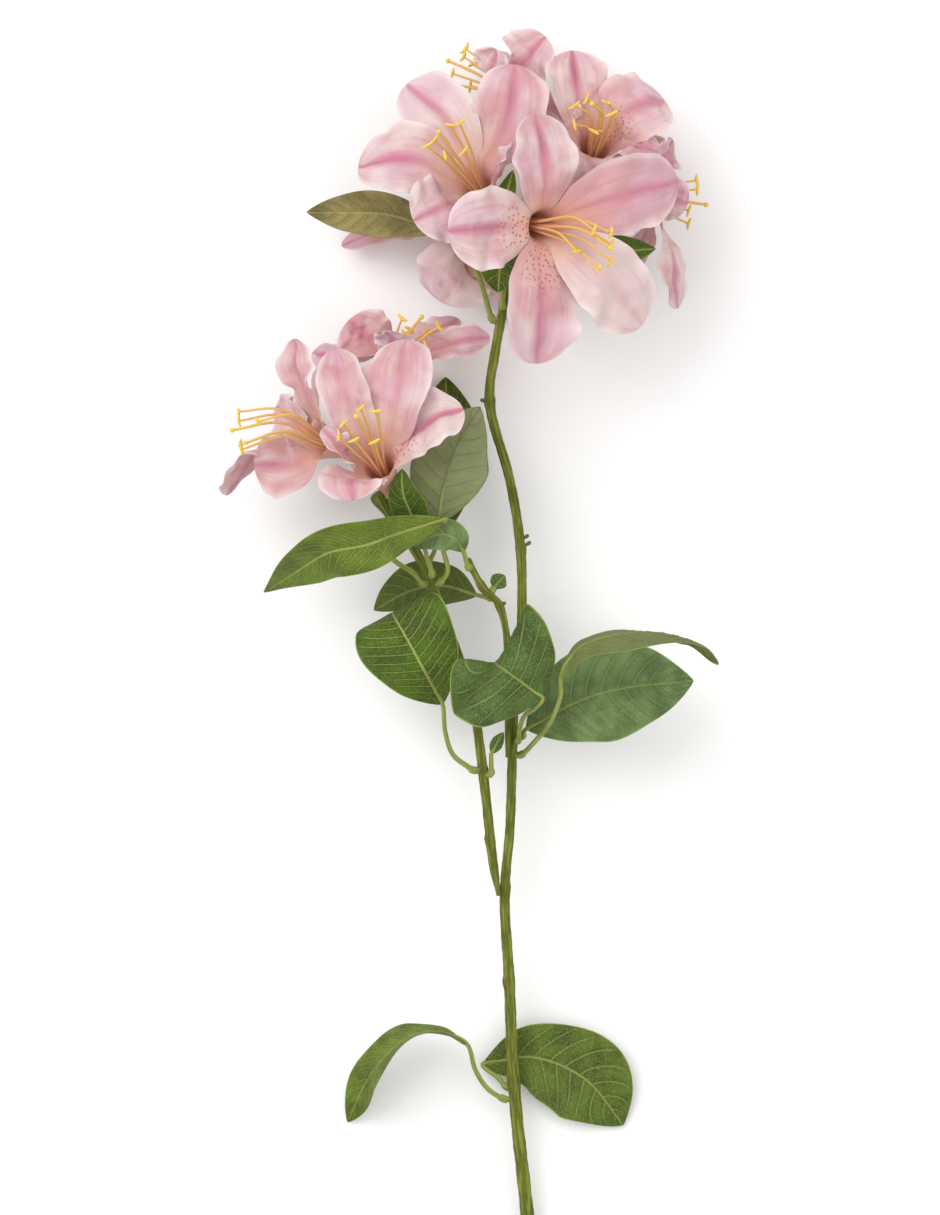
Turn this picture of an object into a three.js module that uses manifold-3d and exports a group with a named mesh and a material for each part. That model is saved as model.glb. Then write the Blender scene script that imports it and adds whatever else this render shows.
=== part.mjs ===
// A cut azalea spray lying on its back: one woody stem with a side branch and a leafy twig,
// two trusses of funnel-shaped flowers, and elliptic leaves on bent petioles.
// Millimetres, +Y along the stem towards the flowers, +Z up from the surface it lies on.
import * as THREE from 'three';
import Module from 'manifold-3d';

const wasm = await Module();
wasm.setup();

// ---------------------------------------------------------------- driving dimensions

const GAP = 0.3; // clearance between neighbouring pieces
const PLANT_LENGTH = 522; // cut end to the highest petal
const PLANT_SPREAD = 199; // leftmost petal tip to rightmost leaf tip
const DRAWN_LENGTH = 522; // length at which the points below were set
const DRAWN_SPREAD = 199; // spread at which the points below were set

const STEM_CUT_RADIUS = 3.0; // main stem at its cut end
const STEM_TOP_RADIUS = 1.9; // main stem above its taper
const STEM_TAPER_END = 0.45; // how far up the main stem it stops tapering
const BRANCH_RADIUS = 1.9; // side branch
const TWIG_RADIUS = 1.4; // leafy twig
const CORE_RADIUS = 4.2; // swollen end of a stem, where the pedicels start
const PETIOLE_RADIUS = 1.1; // leaf stalk
const PETIOLE_TOP_RADIUS = 0.9; // leaf stalk where the blade starts
const PEDICEL_RADIUS = 1.0; // flower stalk
const PEDICEL_ROOT_RADIUS = 0.8; // flower stalk where it leaves the stem
const PEDICEL_STRAIGHT = 3; // straight run of the flower stalk under the calyx
const CALYX_RADIUS = 2.6; // flare of the flower stalk under the corolla

const TUBE_LENGTH = 22; // corolla tube, base to throat
const DRAWN_TUBE = 22; // tube length at which the flowers' points were set
const TUBE_BASE_RADIUS = 3.0;
const THROAT_RADIUS = 6.6;
const TUBE_WALL = 1.0;
const CLAW_RISE = 3; // how far the petals rise past the throat before they open
const PETAL_THICKNESS = 1.0;
const LEAF_THICKNESS = 0.9;
const LEAF_FOLD = 0.18; // lift of a leaf's margin, as a share of its half width
const PETAL_CUP = 0.12; // lift of a petal's margin near its tip, as a share of its half width
const CLAW_CUP = 1.4; // lift of a petal's margin at the throat

const FILAMENT_RADIUS = 0.5;
const STAMEN_COUNT = 6;
const ANTHER_LENGTH = 4.6;
const ANTHER_RADIUS = 0.9;
const ANTHER_END_SHARE = 0.3; // thickness of an anther's ends, as a share of its middle
const DISC_RADIUS = 1.6; // disc that the stamens stand on
const DISC_HEIGHT = 2;
const THREAD_SPREAD = [2.4, 4.5, 8]; // how far the threads stand off the axis: throat, half way, anther
const THREAD_BEND = 0.55; // where along their free length the threads bend
const THREAD_STEP = 3; // difference in length between neighbouring threads
const ANTHER_TURN = 1.2; // radians between a thread's lean and its anther

// ---------------------------------------------------------------- colours and finishes

const FINISH = {
  petal: { color: 0xeccac6, roughness: 0.75, metalness: 0 },
  stamen: { color: 0xd9a63a, roughness: 0.6, metalness: 0 },
  leaf: { color: 0x56702f, roughness: 0.55, metalness: 0 },
  stem: { color: 0x77803a, roughness: 0.65, metalness: 0 },
};

// ---------------------------------------------------------------- stems

// Each row is a point on the centre line, [x, y, z].
const MAIN_STEM = [
  [16, -48, 4], [11, 0, 9], [7, 34, 13], [5, 62, 16], [4, 92, 19], [2, 126, 23],
  [4, 154, 26], [5, 182, 29], [6, 206, 32], [8.4, 230, 35], [8.4, 264, 39],
  [4, 294, 43], [-4, 324, 47], [-1.5, 348, 51], [2, 366, 54], [6, 386, 56],
];
const LEFT_BRANCH = [
  [-3, 142, 28.5], [-5.5, 166, 31], [-8, 187, 33], [-10, 200, 34.5], [-14, 215, 36],
  [-18.5, 228, 37.5], [-25, 247, 40], [-34, 266, 42], [-43, 278, 43], [-48, 288, 44],
];
const SIDE_TWIG = [
  [3.5, 200, 37.5], [3, 226, 41], [2, 236, 42], [-1, 245, 43], [-7, 251, 45], [-13, 262, 47],
];

// ---------------------------------------------------------------- leaves

// stem: what the petiole grows from, at: how far up that stem (y), side: the way it leaves,
// petiole: points between the stem and the blade, blade: points along the midrib,
// half: half the width, roll: turn about the midrib at base and tip (0 = upper side up),
// widest: how far along it is widest.
const LEAVES = [
  { name: 'truss_leaf_left', stem: 'main', at: 358, side: [-0.9, 0.2, 0.2],
    petiole: [[-7, 371, 54], [-11, 381, 52], [-19, 391, 47]],
    blade: [[-24, 393.5, 44], [-46, 401, 40], [-78, 402.5, 30]],
    half: 9.5, roll: [-15, -20] },
  { name: 'truss_leaf_right', stem: 'main', at: 368, side: [1, 0.1, 0.1],
    petiole: [[10, 373, 56]], blade: [[17, 379, 59], [38, 384, 62], [62, 386, 60]],
    half: 8, roll: [10, 10] },
  { name: 'truss_leaf_low', stem: 'main', at: 364, side: [-0.2, 0, 1],
    petiole: [[2, 374, 64], [5, 386, 69]], blade: [[3, 388, 71], [0, 379, 73], [-1, 368, 70]],
    half: 8, roll: [0, 0] },
  { name: 'truss_bract', stem: 'main', at: 374, side: [-0.8, 0.2, 0.7],
    petiole: [[-3, 384, 62]], blade: [[-2, 396, 68], [2, 406, 76], [5, 416, 80]],
    half: 4, roll: [0, 0] },
  { name: 'branch_leaf_under_bloom', stem: 'branch', at: 256, side: [0.1, 0.6, 0.8],
    petiole: [[-29, 262, 46.5]], blade: [[-31, 269, 48], [-31.5, 288, 46], [-34, 308, 45]],
    half: 7, roll: [0, 0] },
  { name: 'branch_leaf_tall', stem: 'branch', at: 252, side: [0.9, 0.2, 0.6],
    petiole: [[-21, 258, 46], [-23, 267, 50]],
    blade: [[-25, 276, 54], [-22.5, 291, 60], [-17.5, 307, 62], [-8, 323, 60]],
    half: 15.5, roll: [180, 180] },
  { name: 'branch_leaf_back', stem: 'branch', at: 258, side: [0.3, 0.3, -0.9],
    petiole: [[-28, 262, 35]], blade: [[-26, 267, 33], [-21, 300, 24], [-22, 337, 3]],
    half: 13, roll: [0, 0], widest: 0.6 },
  { name: 'branch_leaf_left', stem: 'branch', at: 254, side: [-0.9, 0.2, 0.5],
    petiole: [[-35, 257, 47], [-43, 263, 57], [-38, 270, 64]],
    blade: [[-21, 278, 68], [-39, 273, 70], [-53, 268, 69], [-68, 265, 64], [-79, 259, 54], [-95, 249, 38]],
    half: 11.5, roll: [-10, -60], widest: 0.55 },
  { name: 'branch_leaf_broad', stem: 'branch', at: 178, side: [-0.9, 0.1, 0.4],
    petiole: [[-13, 179, 34], [-19, 184, 36], [-22, 193, 38]],
    blade: [[-23, 204, 41], [-30, 217, 48], [-37, 230, 51], [-42, 238.5, 46], [-43.5, 241, 32]],
    half: 20, roll: [0, 0], widest: 0.62 },
  { name: 'branch_leaf_small', stem: 'branch', at: 176, side: [0.7, 0.3, 0.6],
    petiole: [[-3.5, 180, 36]], blade: [[-3.5, 184, 38], [-1, 189, 40], [1.5, 193, 41]],
    half: 2.6, roll: [0, 0] },
  { name: 'twig_leaf_end', stem: 'twig', at: 260, side: [-0.5, 0.6, 0.6],
    petiole: [], blade: [[-14.5, 265, 53], [-18, 270.5, 59], [-25, 272, 61], [-35, 267, 58]],
    half: 6.5, roll: [0, -20] },
  { name: 'twig_leaf_back', stem: 'twig', at: 247, side: [-0.4, 0, -0.9],
    petiole: [[-5, 247, 36]], blade: [[-9, 248, 31], [-22, 252, 27], [-36, 250, 25], [-51, 242, 20]],
    half: 11, roll: [150, 160] },
  { name: 'twig_leaf_small', stem: 'twig', at: 248, side: [0.8, 0, -0.6],
    petiole: [], blade: [[-2.5, 250.5, 40], [-0.5, 253.5, 39], [2, 256, 38]],
    half: 3.6, roll: [0, 0] },
  { name: 'whorl_leaf_centre', stem: 'main', at: 190, side: [0.6, 0.2, 1],
    petiole: [[8, 195, 42], [10, 200, 52], [14, 203, 59]],
    blade: [[17, 207, 62], [9, 213, 68], [2, 218, 70], [-1.5, 220.5, 64], [-2, 221, 50]],
    half: 26.5, roll: [0, 0], widest: 0.6 },
  { name: 'whorl_leaf_right', stem: 'main', at: 191, side: [1, 0, -0.2],
    petiole: [], blade: [[10.5, 194, 33], [33, 206, 42], [52, 211, 43], [78, 213.5, 34]],
    half: 19.5, roll: [0, 0] },
  { name: 'whorl_leaf_arching', stem: 'main', at: 184, side: [1, 0.1, 0.3],
    petiole: [[13, 188, 38], [20, 197, 50], [24, 208, 64]],
    blade: [[24, 215, 70], [33, 228, 78], [57, 233, 78], [77, 229, 69], [87, 220, 57]],
    half: 14, roll: [115, 60] },
  { name: 'foot_leaf_left', stem: 'main', at: 44, side: [-1, 0.1, 0.2],
    petiole: [[-5, 48, 16], [-10, 56, 19]],
    blade: [[-13, 66, 22], [-24, 72, 26], [-38, 69, 26], [-52, 54, 17], [-62, 33, 2]],
    half: 11.5, roll: [85, 10] },
  { name: 'foot_leaf_right', stem: 'main', at: 48, side: [-0.6, 0, -0.7],
    petiole: [[-1, 52, 8]], blade: [[-7, 57, 6.5], [14, 60, 8], [35, 51, 8], [50.5, 32, 3]],
    half: 18.5, roll: [0, 0], widest: 0.62 },
];

// ---------------------------------------------------------------- flowers

// truss: the stem whose end it grows from, throat: where tube and petals meet,
// axis: the way the flower faces, reach: how far the stamens stand out of the throat,
// petals: a point half way along and the tip of each, with half its width
// and its turn about the midrib, which is reached at settle (1 where it isn't given).
const FLOWERS = [
  { name: 'top_front', truss: 'main', throat: [16, 394, 78], axis: [0.5, -0.15, 0.85], reach: 34,
    petals: [
      { mid: [20, 417, 92], tip: [18, 440, 93], half: 14, roll: 0 },
      { mid: [46, 405, 81], tip: [71, 412, 70], half: 16, roll: 0 },
      { mid: [39, 376, 81], tip: [57, 355, 69], half: 16, roll: 0 },
      { mid: [16, 366, 88], tip: [15, 341, 82], half: 16.5, roll: 0 },
      { mid: [-3, 392, 97], tip: [-20, 390, 106], half: 16.5, roll: 0 },
    ] },
  { name: 'top_left', truss: 'main', throat: [-9, 410, 66], axis: [-0.42, 0.53, 0.74], reach: 34,
    petals: [
      { mid: [3, 438, 67], tip: [6, 460, 59], half: 15, roll: 35, settle: 0.5 },
      { mid: [-22, 438, 62], tip: [-38, 453, 48], half: 13.5, roll: 0 },
      { mid: [-34, 421, 69], tip: [-57, 419, 62], half: 16, roll: 0 },
      { mid: [-21, 402, 79], tip: [-34, 396, 85], half: 14, roll: -55, settle: 0.5 },
      { mid: [-1, 415, 79], tip: [4, 426, 85], half: 7, roll: 0 },
    ] },
  { name: 'top_right', truss: 'main', throat: [38, 427, 52], axis: [0.15, 0.55, 0.82], reach: 32,
    petals: [
      { mid: [31, 449, 55], tip: [29, 467, 45], half: 12.5, roll: 0 },
      { mid: [51, 441, 58], tip: [66, 447, 50], half: 16, roll: 0 },
      { mid: [52, 427, 62], tip: [63, 425, 64], half: 9, roll: 0 },
      { mid: [35, 423, 66], tip: [42, 416, 73], half: 12, roll: 50, settle: 0.5 },
      { mid: [26, 436, 57], tip: [21, 450, 48], half: 8, roll: 0 },
    ] },
  { name: 'top_back', truss: 'main', throat: [2, 452, 30], axis: [-0.8, 0.4, -0.45], reach: 26,
    petals: [
      { mid: [8, 462, 40], tip: [19, 474, 44], half: 14, roll: 80, settle: 0.5 },
      { mid: [-3, 458, 43], tip: [-2, 466, 50], half: 10, roll: 80, settle: 0.5 },
      { mid: [-3, 457, 15], tip: [5, 461, 3], half: 11, roll: 0 },
      { mid: [-6, 442, 14], tip: [2, 432, 2], half: 11, roll: 0 },
      { mid: [-8, 441, 34], tip: [-6, 428, 36], half: 10, roll: 0 },
    ] },
  { name: 'right_back', truss: 'main', throat: [60, 408, 44], axis: [0.937, -0.11, -0.33], reach: 20,
    petals: [
      { mid: [64, 421, 50], tip: [70, 430, 47], half: 8, roll: -65, settle: 0.5 },
      { mid: [66, 407, 56], tip: [75, 404, 58], half: 9, roll: 0 },
      { mid: [67, 388, 50], tip: [72, 363, 44], half: 9.5, roll: 65, settle: 0.5 },
      { mid: [62, 420, 28], tip: [60, 430, 12], half: 11, roll: 0 },
      { mid: [60, 396, 24], tip: [54, 386, 2], half: 11, roll: 0 },
    ] },
  { name: 'left_back', truss: 'main', throat: [-9, 386, 22], axis: [-0.35, -0.1, -0.93], reach: 15,
    petals: [
      { mid: [-15, 378, 31], tip: [-24, 362, 33], half: 16, roll: 0 },
      { mid: [-34, 401, 17], tip: [-64, 390, 9], half: 7, roll: 0 },
      { mid: [-13, 408, 14], tip: [-17, 424, 2], half: 12, roll: 0 },
      { mid: [10, 398, 13], tip: [25, 404, 2], half: 11, roll: 0 },
      { mid: [4, 374, 14], tip: [14, 360, 3], half: 11, roll: 0 },
    ] },
  { name: 'low_front', truss: 'branch', throat: [-48, 299, 74], axis: [-0.27, 0.5, 0.83], reach: 34,
    petals: [
      { mid: [-60.5, 324, 81], tip: [-66, 346, 72], half: 9.8, roll: 0 },
      { mid: [-41, 327, 82], tip: [-38, 350, 72], half: 14.5, roll: 0 },
      { mid: [-30, 315, 86], tip: [-15, 322, 87], half: 13, roll: 0 },
      { mid: [-57, 291, 89], tip: [-58, 284.5, 97], half: 16, roll: 0 },
      { mid: [-63, 307, 87], tip: [-70, 314, 88], half: 6.5, roll: 0 },
    ] },
  { name: 'low_left', truss: 'branch', throat: [-70, 309, 54], axis: [-0.9, 0.15, 0.4], reach: 36,
    petals: [
      { mid: [-79, 331, 62], tip: [-83, 350, 60], half: 9, roll: 30 },
      { mid: [-74, 329, 34], tip: [-76, 339, 18], half: 9, roll: 0 },
      { mid: [-85, 300, 52], tip: [-99, 300, 47], half: 12.5, roll: -60, settle: 0.6 },
      { mid: [-97, 305, 40], tip: [-111, 289, 24], half: 9, roll: 60, settle: 0.5 },
      { mid: [-82, 317, 32], tip: [-92, 325, 3], half: 9, roll: 0 },
    ] },
  { name: 'low_back', truss: 'branch', throat: [-42, 340, 36], axis: [0.22, 0.9, 0.3], reach: 18,
    petals: [
      { mid: [-52, 350, 33], tip: [-61, 359, 32], half: 12, roll: -60, settle: 0.5 },
      { mid: [-59, 343, 30], tip: [-76, 346, 26], half: 8, roll: -30 },
      { mid: [-24, 348, 40], tip: [-4, 352, 38], half: 8, roll: 50, settle: 0.6 },
      { mid: [-30, 351, 22], tip: [-17, 361, 14], half: 8, roll: 0 },
      { mid: [-42, 346, 52], tip: [-45, 354, 60], half: 9, roll: 0 },
    ] },
];

// ---------------------------------------------------------------- small tools

const spread = PLANT_SPREAD / DRAWN_SPREAD;
const stretch = PLANT_LENGTH / DRAWN_LENGTH;
const UP = new THREE.Vector3(0, 0, 1);

function place([x, y, z]) {
  return new THREE.Vector3(x * spread, y * stretch, z * spread);
}

function unit([x, y, z]) {
  return new THREE.Vector3(x, y, z).normalize();
}

function smoothLine(points) {
  return new THREE.CatmullRomCurve3(points, false, 'catmullrom', 0.5);
}

function mix(a, b, share) {
  return a + (b - a) * share;
}

function offset(point, way, distance) {
  return point.clone().addScaledVector(way, distance);
}

function squareTo(way, along) {
  return way.clone().addScaledVector(along, -way.dot(along)).normalize();
}

// Collects points and triangles of one closed surface.
class Surface {
  constructor() {
    this.points = [];
    this.triangles = [];
  }

  add(point) {
    return this.points.push(point) - 1;
  }

  // Two neighbouring rows of points; the surface faces along x across.
  band(row, next, closed = false) {
    const count = closed ? row.length : row.length - 1;
    for (let i = 0; i < count; i += 1) {
      const j = (i + 1) % row.length;
      if (i < count / 2) {
        this.triangles.push([row[i], next[i], next[j]], [row[i], next[j], row[j]]);
      } else {
        this.triangles.push([row[i], next[i], row[j]], [next[i], next[j], row[j]]);
      }
    }
  }

  // A row of points drawn together to one.
  fan(row, peak, closed = false) {
    const count = closed ? row.length : row.length - 1;
    for (let i = 0; i < count; i += 1) {
      this.triangles.push([row[i], peak, row[(i + 1) % row.length]]);
    }
  }

  solid() {
    return new wasm.Manifold(new wasm.Mesh({
      numProp: 3,
      vertProperties: new Float32Array(this.points.flatMap((v) => [v.x, v.y, v.z])),
      triVerts: new Uint32Array(this.triangles.flat()),
    }));
  }
}

function meshFrom(name, whole, finish) {
  const { vertProperties, triVerts } = whole.getMesh();
  const geometry = new THREE.BufferGeometry();
  geometry.setAttribute('position', new THREE.BufferAttribute(vertProperties, 3));
  geometry.setIndex(new THREE.BufferAttribute(triVerts, 1));
  geometry.computeVertexNormals();
  const mesh = new THREE.Mesh(geometry, new THREE.MeshStandardMaterial(FINISH[finish]));
  mesh.name = name;
  return mesh;
}

// A closed skin over rings of points, each ring running clockwise seen along the line.
function skin(rings) {
  const surface = new Surface();
  const rows = rings.map((ring) => ring.map((point) => surface.add(point)));
  for (let i = 1; i < rows.length; i += 1) {
    if (rows[i].length === 1) {
      surface.fan(rows[i - 1], rows[i][0], true);
    } else if (rows[i - 1].length === 1) {
      surface.fan([...rows[i]].reverse(), rows[i - 1][0], true);
    } else {
      surface.band(rows[i - 1], rows[i], true);
    }
  }
  return surface.solid();
}

// A round rod through stations { centre, along, radius }, closed at both ends.
function rod(stations, sides) {
  const steep = Math.abs(stations[0].along.z) > 0.9;
  let across = squareTo(steep ? unit([1, 0, 0]) : UP, stations[0].along);
  const rings = stations.map(({ centre, along, radius }) => {
    across = squareTo(across, along);
    const facing = along.clone().cross(across);
    return Array.from({ length: sides }, (_, k) => {
      const turn = (-k / sides) * 2 * Math.PI;
      const sideways = offset(centre, across, radius * Math.cos(turn));
      return offset(sideways, facing, radius * Math.sin(turn));
    });
  });
  return skin([[stations[0].centre], ...rings, [stations[stations.length - 1].centre]]);
}

// Stations along a smooth line, with the radius running through the list of radii.
function stationsOn(points, radii, steps) {
  const line = smoothLine(points);
  return Array.from({ length: steps + 1 }, (_, i) => {
    const share = i / steps;
    const slot = Math.min(Math.floor(share * (radii.length - 1)), radii.length - 2);
    const radius = mix(radii[slot], radii[slot + 1], share * (radii.length - 1) - slot);
    return { centre: line.getPointAt(share), along: line.getTangentAt(share), radius };
  });
}

// ---------------------------------------------------------------- stems

function stemRecord(points, baseRadius, tipRadius, coreRadius, start) {
  const path = points.map(place);
  if (start) {
    path.unshift(start);
  }
  const line = smoothLine(path);
  const radiusAt = (share) => mix(baseRadius, tipRadius, Math.min(share / STEM_TAPER_END, 1));
  return { path, line, radiusAt, coreRadius, core: path[path.length - 1] };
}

// The place on a stem at a given height, with the stem's radius there.
function onStem(stem, height) {
  let low = 0;
  let high = 1;
  for (let i = 0; i < 30; i += 1) {
    const middle = (low + high) / 2;
    if (stem.line.getPointAt(middle).y < height * stretch) {
      low = middle;
    } else {
      high = middle;
    }
  }
  return {
    centre: stem.line.getPointAt(low),
    radius: stem.radiusAt(low),
    along: stem.line.getTangentAt(low),
  };
}

function beside(stem, height, side, radius) {
  const spot = onStem(stem, height);
  return offset(spot.centre, squareTo(unit(side), spot.along), spot.radius + radius + GAP);
}

const main = stemRecord(MAIN_STEM, STEM_CUT_RADIUS, STEM_TOP_RADIUS, CORE_RADIUS, null);
const branch = stemRecord(LEFT_BRANCH, BRANCH_RADIUS, BRANCH_RADIUS, CORE_RADIUS,
  beside(main, 127, [-0.6, 0, 0.8], BRANCH_RADIUS));
const twig = stemRecord(SIDE_TWIG, TWIG_RADIUS, TWIG_RADIUS, TWIG_RADIUS,
  beside(main, 183, [-0.6, 0, 0.8], TWIG_RADIUS));
const STEMS = { main, branch, twig };

const STEM_SIDES = 8;
const CORE_TURNS = [-0.8, -0.3, 0.3, 0.9]; // where the rings of the swollen end lie, in radians

// The stem up to its swollen end, which is rounded over.
function stemSolid(stem, steps) {
  const stations = Array.from({ length: steps + 1 }, (_, i) => ({
    centre: stem.line.getPointAt(i / steps),
    along: stem.line.getTangentAt(i / steps),
    radius: stem.radiusAt(i / steps),
  }));
  const { centre, along } = stations.pop();
  for (const turn of CORE_TURNS) {
    stations.push({
      centre: offset(centre, along, stem.coreRadius * Math.sin(turn)),
      along,
      radius: stem.coreRadius * Math.cos(turn),
    });
  }
  return rod(stations, STEM_SIDES);
}

// ---------------------------------------------------------------- leaves

const LEAF_ROWS = [0.06, 0.2, 0.38, 0.55, 0.73, 0.9];
const LEAF_WIDEST = 0.48;
const COLUMNS = [-1, -0.5, 0, 0.5, 1];
const RING_SIDES = 8; // as many points as a lens-shaped ring of the blade has

function leafWidth(half, widest, share) {
  if (share < widest) {
    return half * Math.sin((Math.PI / 2) * (share / widest)) ** 0.8;
  }
  return half * Math.cos((Math.PI / 2) * ((share - widest) / (1 - widest))) ** 0.8;
}

// The leaf is one skin: round rings along the petiole, then lens-shaped ones along the blade.
function leafSolid(leaf) {
  const spot = onStem(STEMS[leaf.stem], leaf.at);
  const way = squareTo(unit(leaf.side), spot.along);
  const start = offset(spot.centre, way, spot.radius + GAP);
  const root = offset(start, way, 1.5 * PETIOLE_RADIUS);
  const line = smoothLine(leaf.blade.map(place));
  const half = leaf.half * spread;
  const bladeRings = LEAF_ROWS.map((share) => {
    const centre = line.getPointAt(share);
    const along = line.getTangentAt(share);
    const roll = THREE.MathUtils.degToRad(mix(leaf.roll[0], leaf.roll[1], share * share));
    const across = UP.clone().cross(along).normalize().applyAxisAngle(along, roll);
    const facing = along.clone().cross(across);
    const width = leafWidth(half, leaf.widest ?? LEAF_WIDEST, share);
    const at = (column, side) => {
      const fold = LEAF_FOLD * half * Math.abs(column) * Math.sin(Math.PI * share);
      const level = Math.abs(column) === 1 ? fold : fold + side * LEAF_THICKNESS / 2;
      return offset(offset(centre, across, column * width), facing, level);
    };
    return [...COLUMNS.map((c) => at(c, 1)), ...COLUMNS.slice(1, 4).reverse().map((c) => at(c, -1))];
  });
  const first = line.getTangentAt(0);
  const roll = THREE.MathUtils.degToRad(leaf.roll[0]);
  let across = UP.clone().cross(first).normalize().applyAxisAngle(first, roll);
  const stalk = stationsOn([start, root, ...leaf.petiole.map(place), line.getPointAt(0)],
    [PETIOLE_RADIUS, PETIOLE_RADIUS, PETIOLE_TOP_RADIUS], 3 + 2 * leaf.petiole.length);
  const stalkRings = stalk.reverse().map(({ centre, along, radius }) => {
    across = squareTo(across, along);
    const facing = along.clone().cross(across);
    return Array.from({ length: RING_SIDES }, (_, k) => {
      const turn = Math.PI - (k / RING_SIDES) * 2 * Math.PI;
      const sideways = offset(centre, across, radius * Math.cos(turn));
      return offset(sideways, facing, radius * Math.sin(turn));
    });
  }).reverse();
  return skin([[start], ...stalkRings, ...bladeRings, [line.getPointAt(1)]]);
}

// ---------------------------------------------------------------- flowers

const PETAL_ROWS = [0.2, 0.44, 0.68, 0.9];
const PETAL_WIDEST = 0.6;

function petalWidth(half, claw, share) {
  if (share < PETAL_WIDEST) {
    return mix(claw, half, Math.sin((Math.PI / 2) * (share / PETAL_WIDEST)) ** 1.3);
  }
  return half * Math.sqrt(1 - ((share - PETAL_WIDEST) / (1 - PETAL_WIDEST)) ** 2.3);
}

// Directions square to the way a flower faces.
function around(axis) {
  const level = UP.clone().cross(axis).normalize();
  const rise = axis.clone().cross(level);
  return (turn) => level.clone().multiplyScalar(Math.cos(turn)).addScaledVector(rise, Math.sin(turn));
}

// The corolla is one closed skin: a tube of five grown-together claws, open at the throat,
// and five petals, each two-sided and drawn to a thin edge.
function corollaSolid(flower) {
  const { axis, throat, base, growth } = flower;
  const radial = around(axis);
  const level = radial(0);
  const rise = radial(Math.PI / 2);
  const petals = flower.petals.map((petal) => {
    const mid = place(petal.mid).add(growth);
    const lean = mid.clone().sub(throat);
    return { ...petal, mid, turn: Math.atan2(lean.dot(rise), lean.dot(level)) };
  }).sort((a, b) => a.turn - b.turn);
  const turns = petals.flatMap((petal, k) => {
    const last = petals.length - 1;
    const before = k === 0 ? petals[last].turn - 2 * Math.PI : petals[k - 1].turn;
    const after = k === last ? petals[0].turn + 2 * Math.PI : petals[k + 1].turn;
    const start = (before + petal.turn) / 2;
    const end = (after + petal.turn) / 2;
    return [start, (start + petal.turn) / 2, petal.turn, (petal.turn + end) / 2];
  });

  const surface = new Surface();
  const ring = (height, radius) => turns.map((turn) => (
    surface.add(offset(offset(base, axis, height), radial(turn), radius))));
  const baseOut = ring(0, TUBE_BASE_RADIUS);
  const baseIn = ring(TUBE_WALL, TUBE_BASE_RADIUS - TUBE_WALL);
  const rimOut = ring(TUBE_LENGTH, THROAT_RADIUS);
  const rimIn = ring(TUBE_LENGTH, THROAT_RADIUS - TUBE_WALL);
  const notches = ring(TUBE_LENGTH, THROAT_RADIUS - TUBE_WALL / 2);
  for (let i = 0; i < turns.length; i += 4) {
    rimOut[i] = notches[i];
    rimIn[i] = notches[i];
  }
  const flip = (row) => [...row].reverse();
  surface.band(baseIn, rimIn, true);
  surface.band(flip(baseOut), flip(rimOut), true);
  surface.fan(flip(baseIn), surface.add(offset(base, axis, TUBE_WALL)), true);
  surface.fan(baseOut, surface.add(base.clone()), true);

  petals.forEach((petal, k) => {
    const outwards = radial(petal.turn);
    const start = offset(throat, outwards, THROAT_RADIUS - TUBE_WALL / 2);
    const bend = offset(offset(throat, outwards, THROAT_RADIUS + 1), axis, CLAW_RISE);
    const half = petal.half * spread;
    const line = smoothLine([start, bend, petal.mid, place(petal.tip).add(growth)]);
    const sideways = axis.clone().cross(outwards);
    const claw = THROAT_RADIUS * Math.sin(Math.PI / petals.length);
    let front = COLUMNS.map((_, j) => rimIn[(4 * k + j) % turns.length]);
    let back = COLUMNS.map((_, j) => rimOut[(4 * k + j) % turns.length]);
    for (const share of PETAL_ROWS) {
      const centre = line.getPointAt(share);
      const along = line.getTangentAt(share);
      const settled = Math.min(share / (petal.settle ?? 1), 1);
      const roll = THREE.MathUtils.degToRad(petal.roll * settled);
      const across = squareTo(sideways, along).applyAxisAngle(along, roll);
      const facing = along.clone().cross(across);
      const width = petalWidth(half, claw, share);
      const cup = mix(CLAW_CUP, PETAL_CUP * half, share);
      const middles = COLUMNS.map((column) => (
        offset(offset(centre, across, column * width), facing, cup * column * column)));
      const nextFront = middles.map((middle, j) => (
        surface.add(offset(middle, facing, j % 4 === 0 ? 0 : PETAL_THICKNESS / 2))));
      const nextBack = middles.map((middle, j) => (
        j % 4 === 0 ? nextFront[j] : surface.add(offset(middle, facing, -PETAL_THICKNESS / 2))));
      surface.band(front, nextFront);
      surface.band(flip(back), flip(nextBack));
      front = nextFront;
      back = nextBack;
    }
    const tip = surface.add(line.getPointAt(1));
    surface.fan(front, tip);
    surface.fan(flip(back), tip);
  });
  return surface.solid();
}

const DISC_SIDES = 6;
const THREAD_SIDES = 3;
const ANTHER_SIDES = 4;
const PEDICEL_SIDES = 6;

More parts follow.
